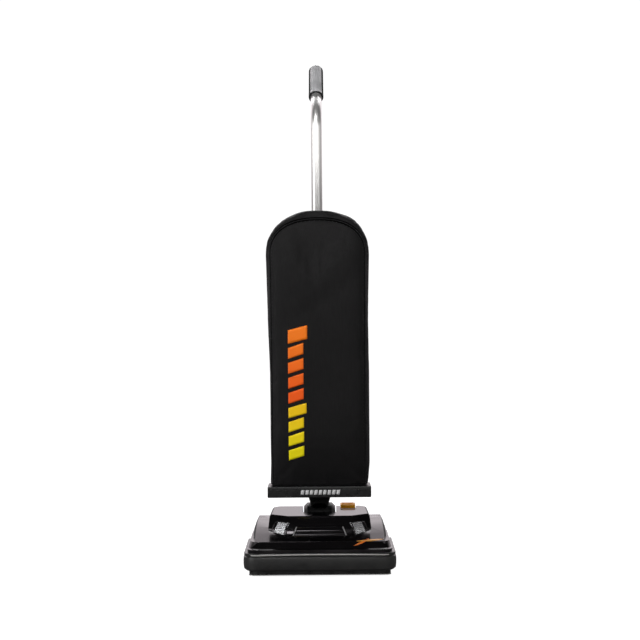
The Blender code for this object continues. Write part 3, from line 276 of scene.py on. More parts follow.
FINISHES = {
    "gloss_housing": gloss_housing(),
    "black_plastic": moulded("black_plastic", (0.0035, 0.0035, 0.0038), (0.006, 0.006, 0.0065),
                             0.34, edge=(0.035, 0.035, 0.036), grain=1700, depth=0.0001),
    "bumper_vinyl": moulded("bumper_vinyl", (0.010, 0.010, 0.0103), (0.015, 0.015, 0.015), 0.40,
                            edge=(0.04, 0.04, 0.04), grain=1100, depth=0.00010, patch=14,
                            Coat_Weight=0.35, Coat_Roughness=0.12),
    "chrome_tube": chrome_finish(),
    "grip_vinyl": moulded("grip_vinyl", (0.34, 0.34, 0.352), (0.40, 0.40, 0.412), 0.46,
                          edge=(0.36, 0.36, 0.36), grain=1300, depth=0.00022, strength=0.4),
    "bag_nylon": woven("bag_nylon", (0.0031, 0.0029, 0.0032), (0.0051, 0.0047, 0.0052)),
    "filter_paper": moulded("filter_paper", (0.62, 0.56, 0.45), (0.76, 0.71, 0.60), 0.88,
                            grain=900, depth=0.0003, strength=0.5),
    "orange_plastic": moulded("orange_plastic", (0.80, 0.33, 0.006), (0.94, 0.44, 0.010), 0.40,
                              edge=(0.95, 0.58, 0.12), grain=1500, depth=0.0001,
                              Specular_IOR_Level=0.3),
    "lens": lens_finish(),
    "steel": moulded("steel", (0.50, 0.50, 0.50), (0.66, 0.66, 0.65), 0.30, metallic=1.0,
                     edge=(0.80, 0.80, 0.79), grain=2200, stretch=(0.15, 1, 1), depth=0.00006),
    "motor_metal": moulded("motor_metal", (0.36, 0.36, 0.37), (0.50, 0.50, 0.50), 0.42,
                           metallic=1.0, edge=(0.7, 0.7, 0.7), grain=1200, depth=0.0002),
    "winding_copper": moulded("winding_copper", (0.50, 0.26, 0.11), (0.72, 0.42, 0.20), 0.34,
                              metallic=1.0, grain=1500, stretch=(0.1, 1, 1), depth=0.0003),
    "grey_plastic": moulded("grey_plastic", (0.16, 0.16, 0.17), (0.21, 0.21, 0.22), 0.48,
                            edge=(0.34, 0.34, 0.34), grain=1500, depth=0.00014),
    "wheel_rubber": moulded("wheel_rubber", (0.020, 0.020, 0.021), (0.040, 0.038, 0.037), 0.68,
                            edge=(0.11, 0.105, 0.10), grain=800, depth=0.0003, strength=0.5),
    "belt_rubber": moulded("belt_rubber", (0.018, 0.017, 0.017), (0.034, 0.032, 0.030), 0.62,
                           grain=1000, stretch=(4, 1, 1), depth=0.0003, strength=0.5),
    "brush_wood": moulded("brush_wood", (0.36, 0.22, 0.11), (0.56, 0.38, 0.20), 0.52,
                          grain=500, stretch=(0.06, 1, 1), depth=0.0003, patch=90),
    "bristle_nylon": moulded("bristle_nylon", (0.012, 0.012, 0.013), (0.05, 0.048, 0.045), 0.40,
                             grain=1500, depth=0.0002),
}
PRINT_ORANGE = printed("print_orange", (1.0, 0.215, 0.006), (1.0, 0.115, 0.006), 0.545, 0.375)
PRINT_YELLOW = printed("print_yellow", (1.0, 0.62, 0.004), (1.0, 0.88, 0.006), 0.372, 0.246)
PRINT_PALE = moulded("print_pale", (0.60, 0.60, 0.61), (0.74, 0.74, 0.74), 0.42, grain=1600)
# Painted shade: a dark finish for the grip's flanks, as seen from the front, and for its lower end.
GRIP_PAINTED_SHADE = moulded("grip_painted_shade", (0.020, 0.020, 0.021), (0.032, 0.032, 0.033), 0.85, grain=1300,
                    depth=0.0002, strength=0.4, Specular_IOR_Level=0.12)
# Painted highlight: a light grey for the strip along the bumper's top bead.
BEAD_PAINTED_HIGHLIGHT = moulded("welting", (0.44, 0.435, 0.42), (0.52, 0.51, 0.49), 0.42, grain=1500)
# Painted highlight: a satin grey for strips on the nose panel's bevelled sides.
NOSE_PAINTED_HIGHLIGHT = moulded("nose_painted_highlight", (0.17, 0.168, 0.172), (0.24, 0.237, 0.242), 0.34, grain=1300)
# Painted shade: a near-black finish for the band over the bag's seam, standing in for the shadowed
# recess there.
SEAM_PAINTED_SHADE_BAND = moulded("seam_tape", (0.0005, 0.0005, 0.0006), (0.0012, 0.0012, 0.0013), 0.85,
                    grain=900, Specular_IOR_Level=0.06)
PIPING = woven("piping_cord", (0.0035, 0.0035, 0.004), (0.006, 0.006, 0.0065), pitch=0.0007,
               sheen=0.1)
THREAD = woven("sewing_thread", (0.016, 0.016, 0.017), (0.026, 0.026, 0.028), pitch=0.0004)
STRIPE_GOLD = moulded("stripe_gold", (0.62, 0.26, 0.03), (0.78, 0.36, 0.05), 0.28, grain=1600)
STRIPE_ORANGE = moulded("stripe_orange", (0.60, 0.13, 0.012), (0.74, 0.19, 0.02), 0.28, grain=1600)


# ---------------------------------------------------------------- mesh helpers

def mesh_object(name, points, faces, finish, smooth=True):
    mesh = bpy.data.meshes.new(name)
    mesh.from_pydata([tuple(point) for point in points], [], faces)
    mesh.validate()
    work = bmesh.new()
    work.from_mesh(mesh)
    bmesh.ops.recalc_face_normals(work, faces=work.faces)
    work.to_mesh(mesh)
    work.free()
    piece = bpy.data.objects.new(name, mesh)
    bpy.context.scene.collection.objects.link(piece)
    mesh.materials.append(finish)
    mesh.polygons.foreach_set("use_smooth", [smooth] * len(mesh.polygons))
    mesh.update()
    return piece


def lofted(name, rings, finish, closed=False, smooth=True):
    """A skin over rings of equally many points, capped at both ends unless it closes on itself."""
    count = len(rings[0])
    points = [point for ring in rings for point in ring]
    faces = []
    spans = len(rings) if closed else len(rings) - 1
    for row in range(spans):
        low = row * count
        high = (row + 1) % len(rings) * count
        for i in range(count):
            j = (i + 1) % count
            faces.append((low + i, low + j, high + j, high + i))
    if not closed:
        faces.append(tuple(range(count))[::-1])
        faces.append(tuple(range((len(rings) - 1) * count, len(rings) * count)))
    return mesh_object(name, points, faces, finish, smooth)


def disc(centre, axis, radius, count=48):
    """Points of a circle round centre, square to axis."""
    axis = Vector(axis).normalized()
    side = AXIS_X if abs(axis.dot(AXIS_X)) < 0.9 else Vector((0, 1, 0))
    first = (side - axis * side.dot(axis)).normalized()
    second = axis.cross(first)
    return [Vector(centre) + radius * (math.cos(2 * math.pi * i / count) * first
                                       + math.sin(2 * math.pi * i / count) * second)
            for i in range(count)]


def swept(name, path, radius, finish, count=8):
    """A thin round tube along a list of points."""
    rings = []
    normal = None
    for i, point in enumerate(path):
        before = path[max(0, i - 1)]
        after = path[min(len(path) - 1, i + 1)]
        axis = (after - before).normalized()
        if normal is None:
            normal = axis.orthogonal().normalized()
        normal = (normal - axis * normal.dot(axis)).normalized()
        other = axis.cross(normal)
        rings.append([point + radius * (math.cos(2 * math.pi * k / count) * normal
                                        + math.sin(2 * math.pi * k / count) * other)
                      for k in range(count)])
    return lofted(name, rings, finish)


def place(piece, body):
    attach(piece, body)
    return piece


def apply_modifiers(piece):
    graph = bpy.context.evaluated_depsgraph_get()
    mesh = bpy.data.meshes.new_from_object(piece.evaluated_get(graph))
    old = piece.data
    piece.modifiers.clear()
    piece.data = mesh
    bpy.data.meshes.remove(old)


def tree_of(*pieces):
    """A search tree over the surfaces of these objects, modifiers included."""
    graph = bpy.context.evaluated_depsgraph_get()
    points, faces = [], []
    for piece in pieces:
        mesh = piece.evaluated_get(graph).to_mesh()
        base = len(points)
        points += [vertex.co.copy() for vertex in mesh.vertices]
        faces += [tuple(base + index for index in face.vertices) for face in mesh.polygons]
        piece.evaluated_get(graph).to_mesh_clear()
    return BVHTree.FromPolygons(points, faces)


def plate(name, points, backs, columns, rows, finish, keep=None):
    """A thin closed sheet between two grids of points, row by row.

    keep(u, v) says which of its cells are there, so that it can have an opening.
    """
    width = columns + 1
    cells = {(row, column) for row in range(rows) for column in range(columns)
             if keep is None or keep((column + 0.5) / columns, (row + 0.5) / rows)}
    used = sorted({(row + i) * width + column + j for row, column in cells
                   for i in (0, 1) for j in (0, 1)})
    number = {old: new for new, old in enumerate(used)}
    offset = len(used)
    faces = []
    for row, column in sorted(cells):
        a = row * width + column
        loop = [number[k] for k in (a, a + 1, a + 1 + width, a + width)]
        faces.append(tuple(loop))
        faces.append(tuple(offset + k for k in reversed(loop)))
        beside = ((row - 1, column), (row, column + 1), (row + 1, column), (row, column - 1))
        for i, cell in enumerate(beside):
            if cell not in cells:
                one, two = loop[i], loop[(i + 1) % 4]
                faces.append((two, one, offset + one, offset + two))
    kept = [points[old] for old in used] + [backs[old] for old in used]
    return mesh_object(name, kept, faces, finish)


def decal(name, tree, corner, columns, rows, start, ray, lift, thick, finish, keep=None):
    """A thin shaped patch laid on a surface: corner(u, v) gives its points, ray the way it drops.

    The ray begins at start before the corner. The patch rises by lift and is thick deep.
    """
    points, backs = [], []
    for row in range(rows + 1):
        for column in range(columns + 1):
            target = corner(column / columns, row / rows)
            hit, normal, _, _ = tree.ray_cast(target - ray * start, ray)
            if hit is None:
                hit, normal = target, -ray
            if normal.dot(ray) > 0:
                normal = -normal
            points.append(hit + normal * lift)
            backs.append(hit + normal * (lift - thick))
    return plate(name, points, backs, columns, rows, finish, keep)


def add_prism(points, faces, rings):
    """Adds a small capped prism over rings of equally many points to a growing mesh."""
    base, count = len(points), len(rings[0])
    for ring in rings:
        points.extend(ring)
    for row in range(len(rings) - 1):
        for k in range(count):
            a = base + row * count + k
            b = base + row * count + (k + 1) % count
            faces.append((a, b, b + count, a + count))
    last = base + (len(rings) - 1) * count
    faces.append(tuple(base + k for k in range(count))[::-1])
    faces.append(tuple(last + k for k in range(count)))


# ---------------------------------------------------------------- frame nodes

for node_name, node in NODES.items():
    slot_name = node.data.materials[0].name.split(".")[0]
    node.data.materials[0] = FINISHES[slot_name]

BEVELS = {
    0.0012: "bag_bar handle_knuckle release_pedal",
    0.0010: "base_chassis",
    0.0008: "hood bumper bag_hanger cord_hook_lower cord_hook_upper switch_case rear_wheel_left "
            "rear_wheel_right front_roller_left front_roller_right motor_can",
    0.0006: "hook_clamp_upper fan_case headlight_lens_left headlight_lens_right",
    0.0005: "power_rocker",
    0.0004: "sole_plate cord_gland",
}


def round_edges(node, width):
    """A narrow rounding of a node's sharp edges, with even normals."""
    weld = node.modifiers.new("weld", "WELD")
    weld.merge_threshold = 0.00002
    rounding = node.modifiers.new("rounding", "BEVEL")
    rounding.width = width
    rounding.segments = 3
    rounding.limit_method = "ANGLE"
    rounding.angle_limit = math.radians(28)
    rounding.harden_normals = False
    rounding.use_clamp_overlap = True
    rounding.miter_outer = "MITER_ARC"
    even = node.modifiers.new("even_normals", "WEIGHTED_NORMAL")
    even.keep_sharp = False
    even.weight = 60


for edge_width, names in BEVELS.items():
    for node_name in names.split():
        round_edges(NODES[node_name], edge_width)


def smooth_by_angle(node, degrees):
    """Smooth shading up to an angle, without touching the node's own mesh."""
    group = bpy.data.node_groups.new(f"smooth_{node.name}", "GeometryNodeTree")
    group.interface.new_socket("Geometry", in_out="INPUT", socket_type="NodeSocketGeometry")
    group.interface.new_socket("Geometry", in_out="OUTPUT", socket_type="NodeSocketGeometry")
    start = group.nodes.new("NodeGroupInput")
    end = group.nodes.new("NodeGroupOutput")
    faces = group.nodes.new("GeometryNodeSetShadeSmooth")
    edges = group.nodes.new("GeometryNodeSetShadeSmooth")
    edges.domain = "EDGE"
    angle = group.nodes.new("GeometryNodeInputMeshEdgeAngle")
    below = group.nodes.new("FunctionNodeCompare")
    below.operation = "LESS_EQUAL"
    below.inputs[1].default_value = math.radians(degrees)
    group.links.new(angle.outputs["Unsigned Angle"], below.inputs[0])
    group.links.new(start.outputs[0], faces.inputs["Geometry"])
    group.links.new(faces.outputs[0], edges.inputs["Geometry"])
    group.links.new(below.outputs[0], edges.inputs["Shade Smooth"])
    group.links.new(edges.outputs[0], end.inputs[0])
    node.modifiers.new("smooth", "NODES").node_group = group


for node_name, node in NODES.items():
    smooth_by_angle(node, 32)
    bpy.context.view_layer.objects.active = node
    if "rounding" in node.modifiers:
        node.modifiers.move(len(node.modifiers) - 1, 2)


# ---------------------------------------------------------------- handle tube and grip

def handle_line():
    """The tube's centre line, from the box of the grip: straight, bent back, straight."""
    _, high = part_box("handle_grip")
    tube_low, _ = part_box("handle_tube")
    axis_y = 0.020
    tilt = math.radians(48)
    bend = 0.065
    dome = ((0.0060, 0.0175), (0.0020, 0.0158), (0.0, 0.0115))
    sine, cosine = math.sin(tilt), math.cos(tilt)
    heading = Vector((0, sine, cosine))
    end = Vector((0, high.y - max(r * cosine - b * sine for b, r in dome),
                  high.z - max(r * sine - b * cosine for b, r in dome)))
    grip_start = end - 0.122 * heading
    run = grip_start.y - axis_y - bend * (1 - cosine)
    bend_end = grip_start - run / sine * heading
    bend_low = bend_end.z - bend * sine
    path = [(Vector((0, axis_y, tube_low.z)), Vector((0, 0, 1)))]
    for i in range(25):
        angle = tilt * i / 24
        path.append((Vector((0, axis_y + bend * (1 - math.cos(angle)),
                             bend_low + bend * math.sin(angle))),
                     Vector((0, math.sin(angle), math.cos(angle)))))
    path.append((end - 0.020 * heading, heading))
    return path, grip_start, heading


PATH, GRIP_START, HEADING = handle_line()
TUBE_RADIUS, TUBE_BORE = 0.0127, 0.0113
outer = [disc(centre, heading, TUBE_RADIUS) for centre, heading in PATH]
inner = [disc(centre, heading, TUBE_BORE) for centre, heading in PATH]
tube = lofted("handle_tube_plated", outer + inner[::-1], FINISHES["chrome_tube"], closed=True)
place(tube, "handle")
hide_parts("handle_tube")

grip_profile = [
    (0.1050, 0.0130), (0.0015, 0.0130), (0.0000, 0.0142), (0.0000, 0.0160), (0.0008, 0.0173),
    (0.0025, 0.01749), (0.0075, 0.01749), (0.0085, 0.0168), (0.0095, 0.0165), (0.0105, 0.0168),
    (0.0115, 0.0174), (0.0500, 0.0174), (0.0900, 0.0174), (0.1110, 0.0174), (0.1150, 0.0172),
    (0.1180, 0.0164), (0.1203, 0.0148), (0.1215, 0.0125), (0.1219, 0.0100), (0.1216, 0.0085),
    (0.1214, 0.0070), (0.1219, 0.0060), (0.1219, 0.0010),
]
grip_rings = []
for along, radius in grip_profile:
    ring = disc(GRIP_START + along * HEADING, HEADING, radius, 64)
    if 0.012 < along < 0.112:
        centre = GRIP_START + along * HEADING
        ring = [centre + (point - centre) * (1 - 0.022 * (1 if i % 8 in (0, 1) else 0))
                for i, point in enumerate(ring)]
    grip_rings.append(ring)
grip = lofted("handle_grip_moulded", grip_rings, FINISHES["grip_vinyl"])
# Painted shade: faces on the grip's flanks as seen from the front, and on its lower end, get the
# dark second finish in place of shading.
grip.data.materials.append(GRIP_PAINTED_SHADE)
for face in grip.data.polygons:
    middle = sum((grip.data.vertices[i].co for i in face.vertices), Vector()) / len(face.vertices)
    along = (middle - GRIP_START).dot(HEADING)
    if abs(middle.x) > 0.0138 and along < 0.1165 or along < 0.0012:
        face.material_index = 1
place(grip, "handle")
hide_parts("handle_grip")
# Painted shade: a black ring fills the gap between the tube and the grip's bore at its lower end,
# standing in for the shadow in that hollow.
shade_ring_loops = [disc(GRIP_START + along * HEADING, HEADING, radius, 48)
               for along, radius in ((0.0004, 0.0128), (0.0004, 0.0140), (0.0012, 0.0129))]
shadow_ring = lofted("grip_end_painted_shade_ring", shade_ring_loops, FINISHES["black_plastic"], closed=True)
place(shadow_ring, "handle")


# ---------------------------------------------------------------- cloth bag

BAG_LOW_BOX, BAG_HIGH_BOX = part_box("outer_bag")
BAG_MIDDLE = -0.044
SHOULDER = BAG_HIGH_BOX.z - 0.100


def bag_levels():
    """(half width, front, back, height) of the bag, from its foot to its arched top."""
    top = BAG_HIGH_BOX.x
    front, back = BAG_LOW_BOX.y, BAG_HIGH_BOX.y
    low = BAG_LOW_BOX.z
    levels = [
        (0.1105, -0.066, -0.002, low), (0.1108, -0.072, 0.000, low + 0.018),
        (0.1110, -0.080, back - 0.001, low + 0.045), (0.1112, -0.086, back, 0.265),
        (0.1112, -0.090, back, 0.300), (0.1112, front + 0.002, back, 0.370),
        (0.1114, front, back, 0.440), (0.1128, front, back, 0.520),
        (0.1145, front, back, 0.600), (0.1158, front, back, 0.660),
        (top, front, back, SHOULDER),
    ]
    for t in (0.15, 0.28, 0.40, 0.50, 0.60, 0.68, 0.76, 0.82, 0.88, 0.92, 0.96, 0.985):
        width = (1 - t ** 2.4) ** (1 / 2.4)
        depth = 0.25 + 0.75 * (1 - t ** 3) ** 0.5
        levels.append((top * width, BAG_MIDDLE + (front - BAG_MIDDLE) * depth,
                       BAG_MIDDLE + (back - BAG_MIDDLE) * depth, SHOULDER + 0.100 * t))
    levels.append((0.016, -0.050, -0.038, BAG_HIGH_BOX.z))
    return levels


def pillow_ring(half, front, back, z, count=72, power=4.0):
    points = []
    middle = (front + back) / 2
    depth = (back - front) / 2
    for i in range(count):
        angle = 2 * math.pi * i / count
        c, s = math.cos(angle), math.sin(angle)
        points.append(Vector((half * math.copysign(abs(c) ** (2 / power), c),
                              middle + depth * math.copysign(abs(s) ** (2 / power), s), z)))
    return points


def half_width_at(z):
    levels = bag_levels()
    for (a, _, _, low), (b, _, _, high) in zip(levels, levels[1:]):
        if low <= z <= high:
            t = (z - low) / max(1e-9, high - low)
            return a + (b - a) * t
    return levels[-1][0]


ARCH = (BAG_HIGH_BOX.x - 0.0096, 0.0790)  # half width and height of the seam's arch


def seam_half(z):
    """Half the front panel's width, which is set in a little further towards the top."""
    return half_width_at(z) - 0.0066 - 0.0030 * min(1.0, max(0.0, (z - 0.45) / 0.2))


def inside_panel(x, z):
    """How far a point lies inside the front panel's seam, in metres."""
    if z < SHOULDER:
        return seam_half(z) - abs(x)
    a, b = ARCH
    radius = ((abs(x) / a) ** 2.3 + ((z - SHOULDER) / b) ** 2.3) ** (1 / 2.3)
    return (1 - radius) * (a if radius < 1e-6 else
                           (a * abs(x) / a + b * (z - SHOULDER) / b)
                           / (abs(x) / a + (z - SHOULDER) / b + 1e-9))


def seam_line(step=0.004):
    """Points (x, z) of the front panel's seam: up one side, over the arch, down the other."""
    side = []
    z = BAG_LOW_BOX.z + 0.004
    while z < SHOULDER:
        side.append((seam_half(z), z))
        z += step
    arch = []
    a, b = ARCH
    for i in range(37):
        angle = math.pi * i / 36
        c, s = math.cos(angle), math.sin(angle)
        arch.append((a * math.copysign(abs(c) ** (2 / 2.3), c), SHOULDER + b * s ** (2 / 2.3)))
    return [(x, z) for x, z in side] + arch + [(-x, z) for x, z in side[::-1]]


rings = [pillow_ring(half - 0.003, front + 0.005, back - 0.004, z)
         for half, front, back, z in bag_levels()]
bag = lofted("dust_bag_cloth", rings, FINISHES["bag_nylon"])
even = bag.modifiers.new("even", "REMESH")
even.mode = "VOXEL"
even.voxel_size = 0.0060
apply_modifiers(bag)


def puff(piece, pressure, frames, cap):
    """Blows the cloth up by simulation, then keeps each point within cap of where it began."""
    start = [vertex.co.copy() for vertex in piece.data.vertices]
    low = min(point.z for point in start)
    high = max(point.z for point in start)
    pins = piece.vertex_groups.new(name="held")
    for vertex in piece.data.vertices:
        near = min(vertex.co.z - low, (high - vertex.co.z) * 2.0)
        weight = max(0.0, 1.0 - near / 0.020)
        if weight > 0:
            pins.add([vertex.index], weight, "REPLACE")
    cloth = piece.modifiers.new("cloth", "CLOTH")
    settings = cloth.settings
    settings.quality = 6
    settings.mass = 0.25
    settings.tension_stiffness = 22
    settings.compression_stiffness = 22
    settings.shear_stiffness = 8
    settings.bending_stiffness = 0.35
    settings.use_pressure = True
    settings.uniform_pressure_force = pressure
    settings.vertex_group_mass = "held"
    settings.effector_weights.gravity = 0
    cloth.point_cache.frame_start = 1
    cloth.point_cache.frame_end = frames
    scene = bpy.context.scene
    for number in range(1, frames + 1):
        scene.frame_set(number)
    graph = bpy.context.evaluated_depsgraph_get()
    moved = [vertex.co.copy() for vertex in piece.evaluated_get(graph).data.vertices]
    piece.modifiers.clear()
    for vertex, before, after in zip(piece.data.vertices, start, moved):
        shift = after - before
        shift.x *= 0.45
        if shift.length > cap:
            shift = shift * (cap / shift.length)
        vertex.co = before + shift
    scene.frame_set(1)


puff(bag, 4.0, 20, 0.0065)
refine = bag.modifiers.new("refine", "SUBSURF")
refine.levels = 1
refine.render_levels = 1
apply_modifiers(bag)


def dimple(x, z, centre_x, centre_z, size_x, size_z):
    return math.exp(-((x - centre_x) / size_x) ** 2 - ((z - centre_z) / size_z) ** 2)


def shape_cloth(piece):
    """Seam channel, slack folds, and the gathers where the cloth goes into the bar."""
    random.seed(7)
    gathers = [(random.uniform(-0.105, 0.105), random.uniform(0.004, 0.009),
                random.uniform(-0.9, 1.0)) for _ in range(16)]
    lo, hi = BAG_LOW_BOX, BAG_HIGH_BOX
    for vertex in piece.data.vertices:
        x, y, z = vertex.co
        front = y < BAG_MIDDLE
        out = -1.0 if front else 1.0
        facing = min(1.0, abs(y - BAG_MIDDLE) / 0.030)
        d = inside_panel(x, z)
        channel = math.exp(-(d / 0.0030) ** 2) * facing
        y -= out * 0.0030 * channel
        if d < 0:
            y += out * 0.0016 * min(1, -d / 0.004) * facing
        if front:
            run = (x - 0.020) * 0.80 + (z - 0.610) * 0.60
            off = (z - 0.610) * 0.80 - (x - 0.020) * 0.60
            y += 0.0016 * math.exp(-(off / 0.021) ** 2) * max(0, 1 - (run / 0.15) ** 2)
            y += 0.0022 * dimple(x, z, 0.030, 0.450, 0.055, 0.080)
            y -= 0.0016 * dimple(x, z, -0.045, 0.640, 0.060, 0.050)
            y += 0.0018 * dimple(x, z, 0.060, 0.300, 0.020, 0.060)
        else:
            y -= 0.0020 * dimple(x, z, -0.030, 0.520, 0.050, 0.090)
            y -= 0.0015 * dimple(x, z, 0.050, 0.350, 0.030, 0.060)
        foot = max(0.0, 1 - (z - lo.z) / 0.055)
        if foot > 0 and abs(x) < 0.108:
            wave = sum(amount * math.exp(-((x - centre) / width) ** 2)
                       for centre, width, amount in gathers)
            y += out * 0.0012 * wave * foot * min(1, (z - lo.z) / 0.006)
        side = min(1.0, max(0.0, (abs(x) - 0.095) / 0.012))
        if x > 0:
            x -= 0.0016 * side * math.exp(-((z - 0.478) / 0.012) ** 2)
            x += 0.0010 * side * math.sin((z - 0.2) * 31)
        else:
            x += 0.0010 * side * math.sin((z - 0.2) * 23)
        vertex.co = Vector((min(hi.x + 0.002, max(-hi.x - 0.002, x)), y, z))
    piece.data.update()


def fit_width(piece):
    """Stretches each level of the cloth to the bag's outline, which leans out on the right."""
    low, high = BAG_LOW_BOX.z, BAG_HIGH_BOX.z
    bands = 64
    widest = [[0.0, 0.0] for _ in range(bands + 1)]
    for vertex in piece.data.vertices:
        band = round((vertex.co.z - low) / (high - low) * bands)
        band = min(bands, max(0, band))
        widest[band][0] = max(widest[band][0], -vertex.co.x)
        widest[band][1] = max(widest[band][1], vertex.co.x)
    for vertex in piece.data.vertices:
        place_at = min(bands - 1e-6, max(0.0, (vertex.co.z - low) / (high - low) * bands))
        band = int(place_at)
        share = place_at - band
        side = 1 if vertex.co.x > 0 else 0
        wide = widest[band][side] * (1 - share) + widest[band + 1][side] * share
        z = vertex.co.z
        lean = 0.0035 * min(1, max(0, (0.56 - z) / 0.12)) * min(1, max(0, (z - low) / 0.05))
        target = half_width_at(min(z, high - 0.001)) + (lean if side else -lean * 0.6)
        if side:
            target += 0.0065 * math.exp(-((high - 0.016 - z) / 0.017) ** 2)
        else:
            target -= 0.0018 * math.exp(-((high - 0.040 - z) / 0.020) ** 2)
        fade = min(1.0, max(0.0, (high - 0.0015 - z) / 0.0110))
        if wide > 0.02:
            stretch = 1 + (target / wide - 1) * fade
            vertex.co.x *= 1 + (stretch - 1) * min(1, abs(vertex.co.x) / 0.06)
    piece.data.update()


shape_cloth(bag)
fit_width(bag)
bag.data.polygons.foreach_set("use_smooth", [True] * len(bag.data.polygons))
bag.data.materials.clear()
bag.data.materials.append(FINISHES["bag_nylon"])
place(bag, "handle")
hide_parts("outer_bag")

BAG_TREE = tree_of(bag)


def on_bag(x, z, facing=-1, lift=0.0):
    """The point of the bag's front, or back, at x and z, moved off the cloth by lift."""
    ray = Vector((0, -facing, 0))
    hit, normal, _, _ = BAG_TREE.ray_cast(Vector((x, BAG_MIDDLE + facing * 0.2, z)), ray)
    if hit is None:
        return None
    if normal.dot(ray) > 0:
        normal = -normal
    return hit + normal * lift


def painted_shade_band_corner(u, v, facing):
    """A point of the near-black band laid over the seam as painted shade, which is wider round the
    arch than down the sides.
    """
    line = seam_line()
    at = min(len(line) - 1.000001, u * (len(line) - 1))
    i = int(at)
    (x1, z1), (x2, z2) = line[i], line[i + 1]
    share = at - i
    x, z = x1 + (x2 - x1) * share, z1 + (z2 - z1) * share
    across = Vector((z2 - z1, 0, x1 - x2)).normalized()
    arch = min(1.0, max(0.0, (z - SHOULDER - 0.005) / 0.060))
    half = (0.0015 + 0.0026 * arch) * min(1, 0.3 + u * 40, 0.3 + (1 - u) * 40)
    spot = Vector((x, BAG_MIDDLE, z)) + across * (half * (2 * v - 1))
    return Vector((spot.x, BAG_MIDDLE + facing * 0.05, spot.z))


for facing, label in ((-1, "front"), (1, "back")):
    # Painted shade: a near-black band along the seam, front and back.
    painted_shade_band = decal(f"seam_tape_{label}", BAG_TREE,
                 lambda u, v, facing=facing: painted_shade_band_corner(u, v, facing),
                 len(seam_line()) - 1, 4, 0.2, Vector((0, -facing, 0)), 0.0004, 0.0006, SEAM_PAINTED_SHADE_BAND)
    place(painted_shade_band, "handle")
    line = [on_bag(x, z, facing, 0.0002) for x, z in seam_line()]
    line = [point for point in line if point is not None]
    cord = swept(f"seam_piping_{label}", line, 0.0012, PIPING)
    place(cord, "handle")
    stitches, stitch_faces = [], []
    walked = 0.0
    for first, second in zip(line, line[1:]):
        walked += (second - first).length
        if walked < 0.0042:
            continue
        walked = 0.0
        middle = (first + second) / 2
        along = (second - first).normalized()
        inward = Vector((-middle.x, 0, min(0.0, SHOULDER - middle.z))).normalized()
        spot = on_bag(middle.x + inward.x * 0.0045, middle.z + inward.z * 0.0045, facing, 0.0002)
        if spot is None:
            continue
        rise = Vector((0, facing, 0))
        wide = along.cross(rise).normalized() * 0.00035
        tall = rise * 0.00035
        rings = []
        for share, size in ((-1, 0.2), (-0.6, 1), (0.6, 1), (1, 0.2)):
            centre = spot + along * (0.0014 * share)
            rings.append([centre + (math.cos(math.pi * k / 3) * wide
                                    + math.sin(math.pi * k / 3) * tall) * size
                          for k in range(6)])
        add_prism(stitches, stitch_faces, rings)
    sewn = mesh_object(f"seam_stitches_{label}", stitches, stitch_faces, THREAD)
    place(sewn, "handle")


def print_bar(name, z_high, z_low, x_low, x_high, slant, finish):
    """One slanted bar of the bag's printed pattern."""
    def corner(u, v):
        x = x_low + (x_high - x_low) * u
        z = z_high + (z_low - z_high) * v + slant * (u - 0.5)
        return Vector((x, BAG_MIDDLE, z))
    return decal(name, BAG_TREE, corner, 10, 6, 0.2, REARWARD, 0.0006, 0.0009, finish)


PRINT_LEFT, PRINT_RIGHT = -0.0672, -0.0330
PRINT_TOP, PRINT_CHANGE, PRINT_FOOT = 0.5070, 0.3734, 0.2461
BARS_OF_A_COLOUR = 4
PRINT_GAP = 0.0045
cells = [(0.5464, PRINT_TOP, -0.0240, PRINT_ORANGE)]
for top, bottom, first_right, finish in (
        (PRINT_TOP, PRINT_CHANGE, PRINT_RIGHT, PRINT_ORANGE),
        (PRINT_CHANGE, PRINT_FOOT, -0.0270, PRINT_YELLOW)):
    for i in range(BARS_OF_A_COLOUR):
        high = top + (bottom - top) * i / BARS_OF_A_COLOUR
        low = top + (bottom - top) * (i + 1) / BARS_OF_A_COLOUR
        cells.append((high, low, first_right if i == 0 else PRINT_RIGHT, finish))
for number, (high, low, right, finish) in enumerate(cells):
    bar = print_bar(f"bag_print_{number + 1}", high - PRINT_GAP, low + PRINT_GAP, PRINT_LEFT,
                    right, 0.011, finish)
    place(bar, "handle")


# ---------------------------------------------------------------- bag bar trim

BAR_LOW_BOX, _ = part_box("bag_bar")
BAR_TREE = tree_of(NODES["bag_bar"])
dash_low = BAR_LOW_BOX.z + 0.0068
dash_high = BAR_LOW_BOX.z + 0.0172
for number in range(9):
    left = -0.0420 + 0.0100 * number

    def dash_corner(u, v, left=left):
        x = left + 0.0072 * u + 0.0016 * v
        return Vector((x, -0.03, dash_low + (dash_high - dash_low) * v))

    dash = decal(f"bar_dash_{number + 1}", BAR_TREE, dash_corner, 2, 3, 0.2, REARWARD,
                 0.0003, 0.0006, PRINT_PALE)
    place(dash, "handle")


# ---------------------------------------------------------------- hood trim and painted highlights

HOOD_TREE = tree_of(NODES["hood"])


def hood_panel():
    """The raised pad on the hood's nose: wider below, with bevelled sides."""
    columns, rows = 60, 20
    foot, head = 0.0815, 0.1002
    height = head - foot
    side_bevel, end_bevel = 0.0045, 0.0022
    points, backs = [], []
    for row in range(rows + 1):
        v = row / rows
        half = 0.0613 + (0.0535 - 0.0613) * v
        for column in range(columns + 1):
            u = column / columns
            start = Vector((half * (2 * u - 1), -0.3, foot + height * v))
            hit, _, _, _ = HOOD_TREE.ray_cast(start, REARWARD)
            edge = min(u * 2 * half, (1 - u) * 2 * half) / side_bevel
            edge = min(edge, v * height / end_bevel, (1 - v) * height / end_bevel, 1.0)
            points.append(hit + Vector((0, -0.0002 - 0.0022 * edge, 0)))
            backs.append(hit + Vector((0, 0.0003, 0)))
    return plate("hood_nose_panel", points, backs, columns, rows, FINISHES["gloss_housing"])


nose = hood_panel()
place(nose, "base")

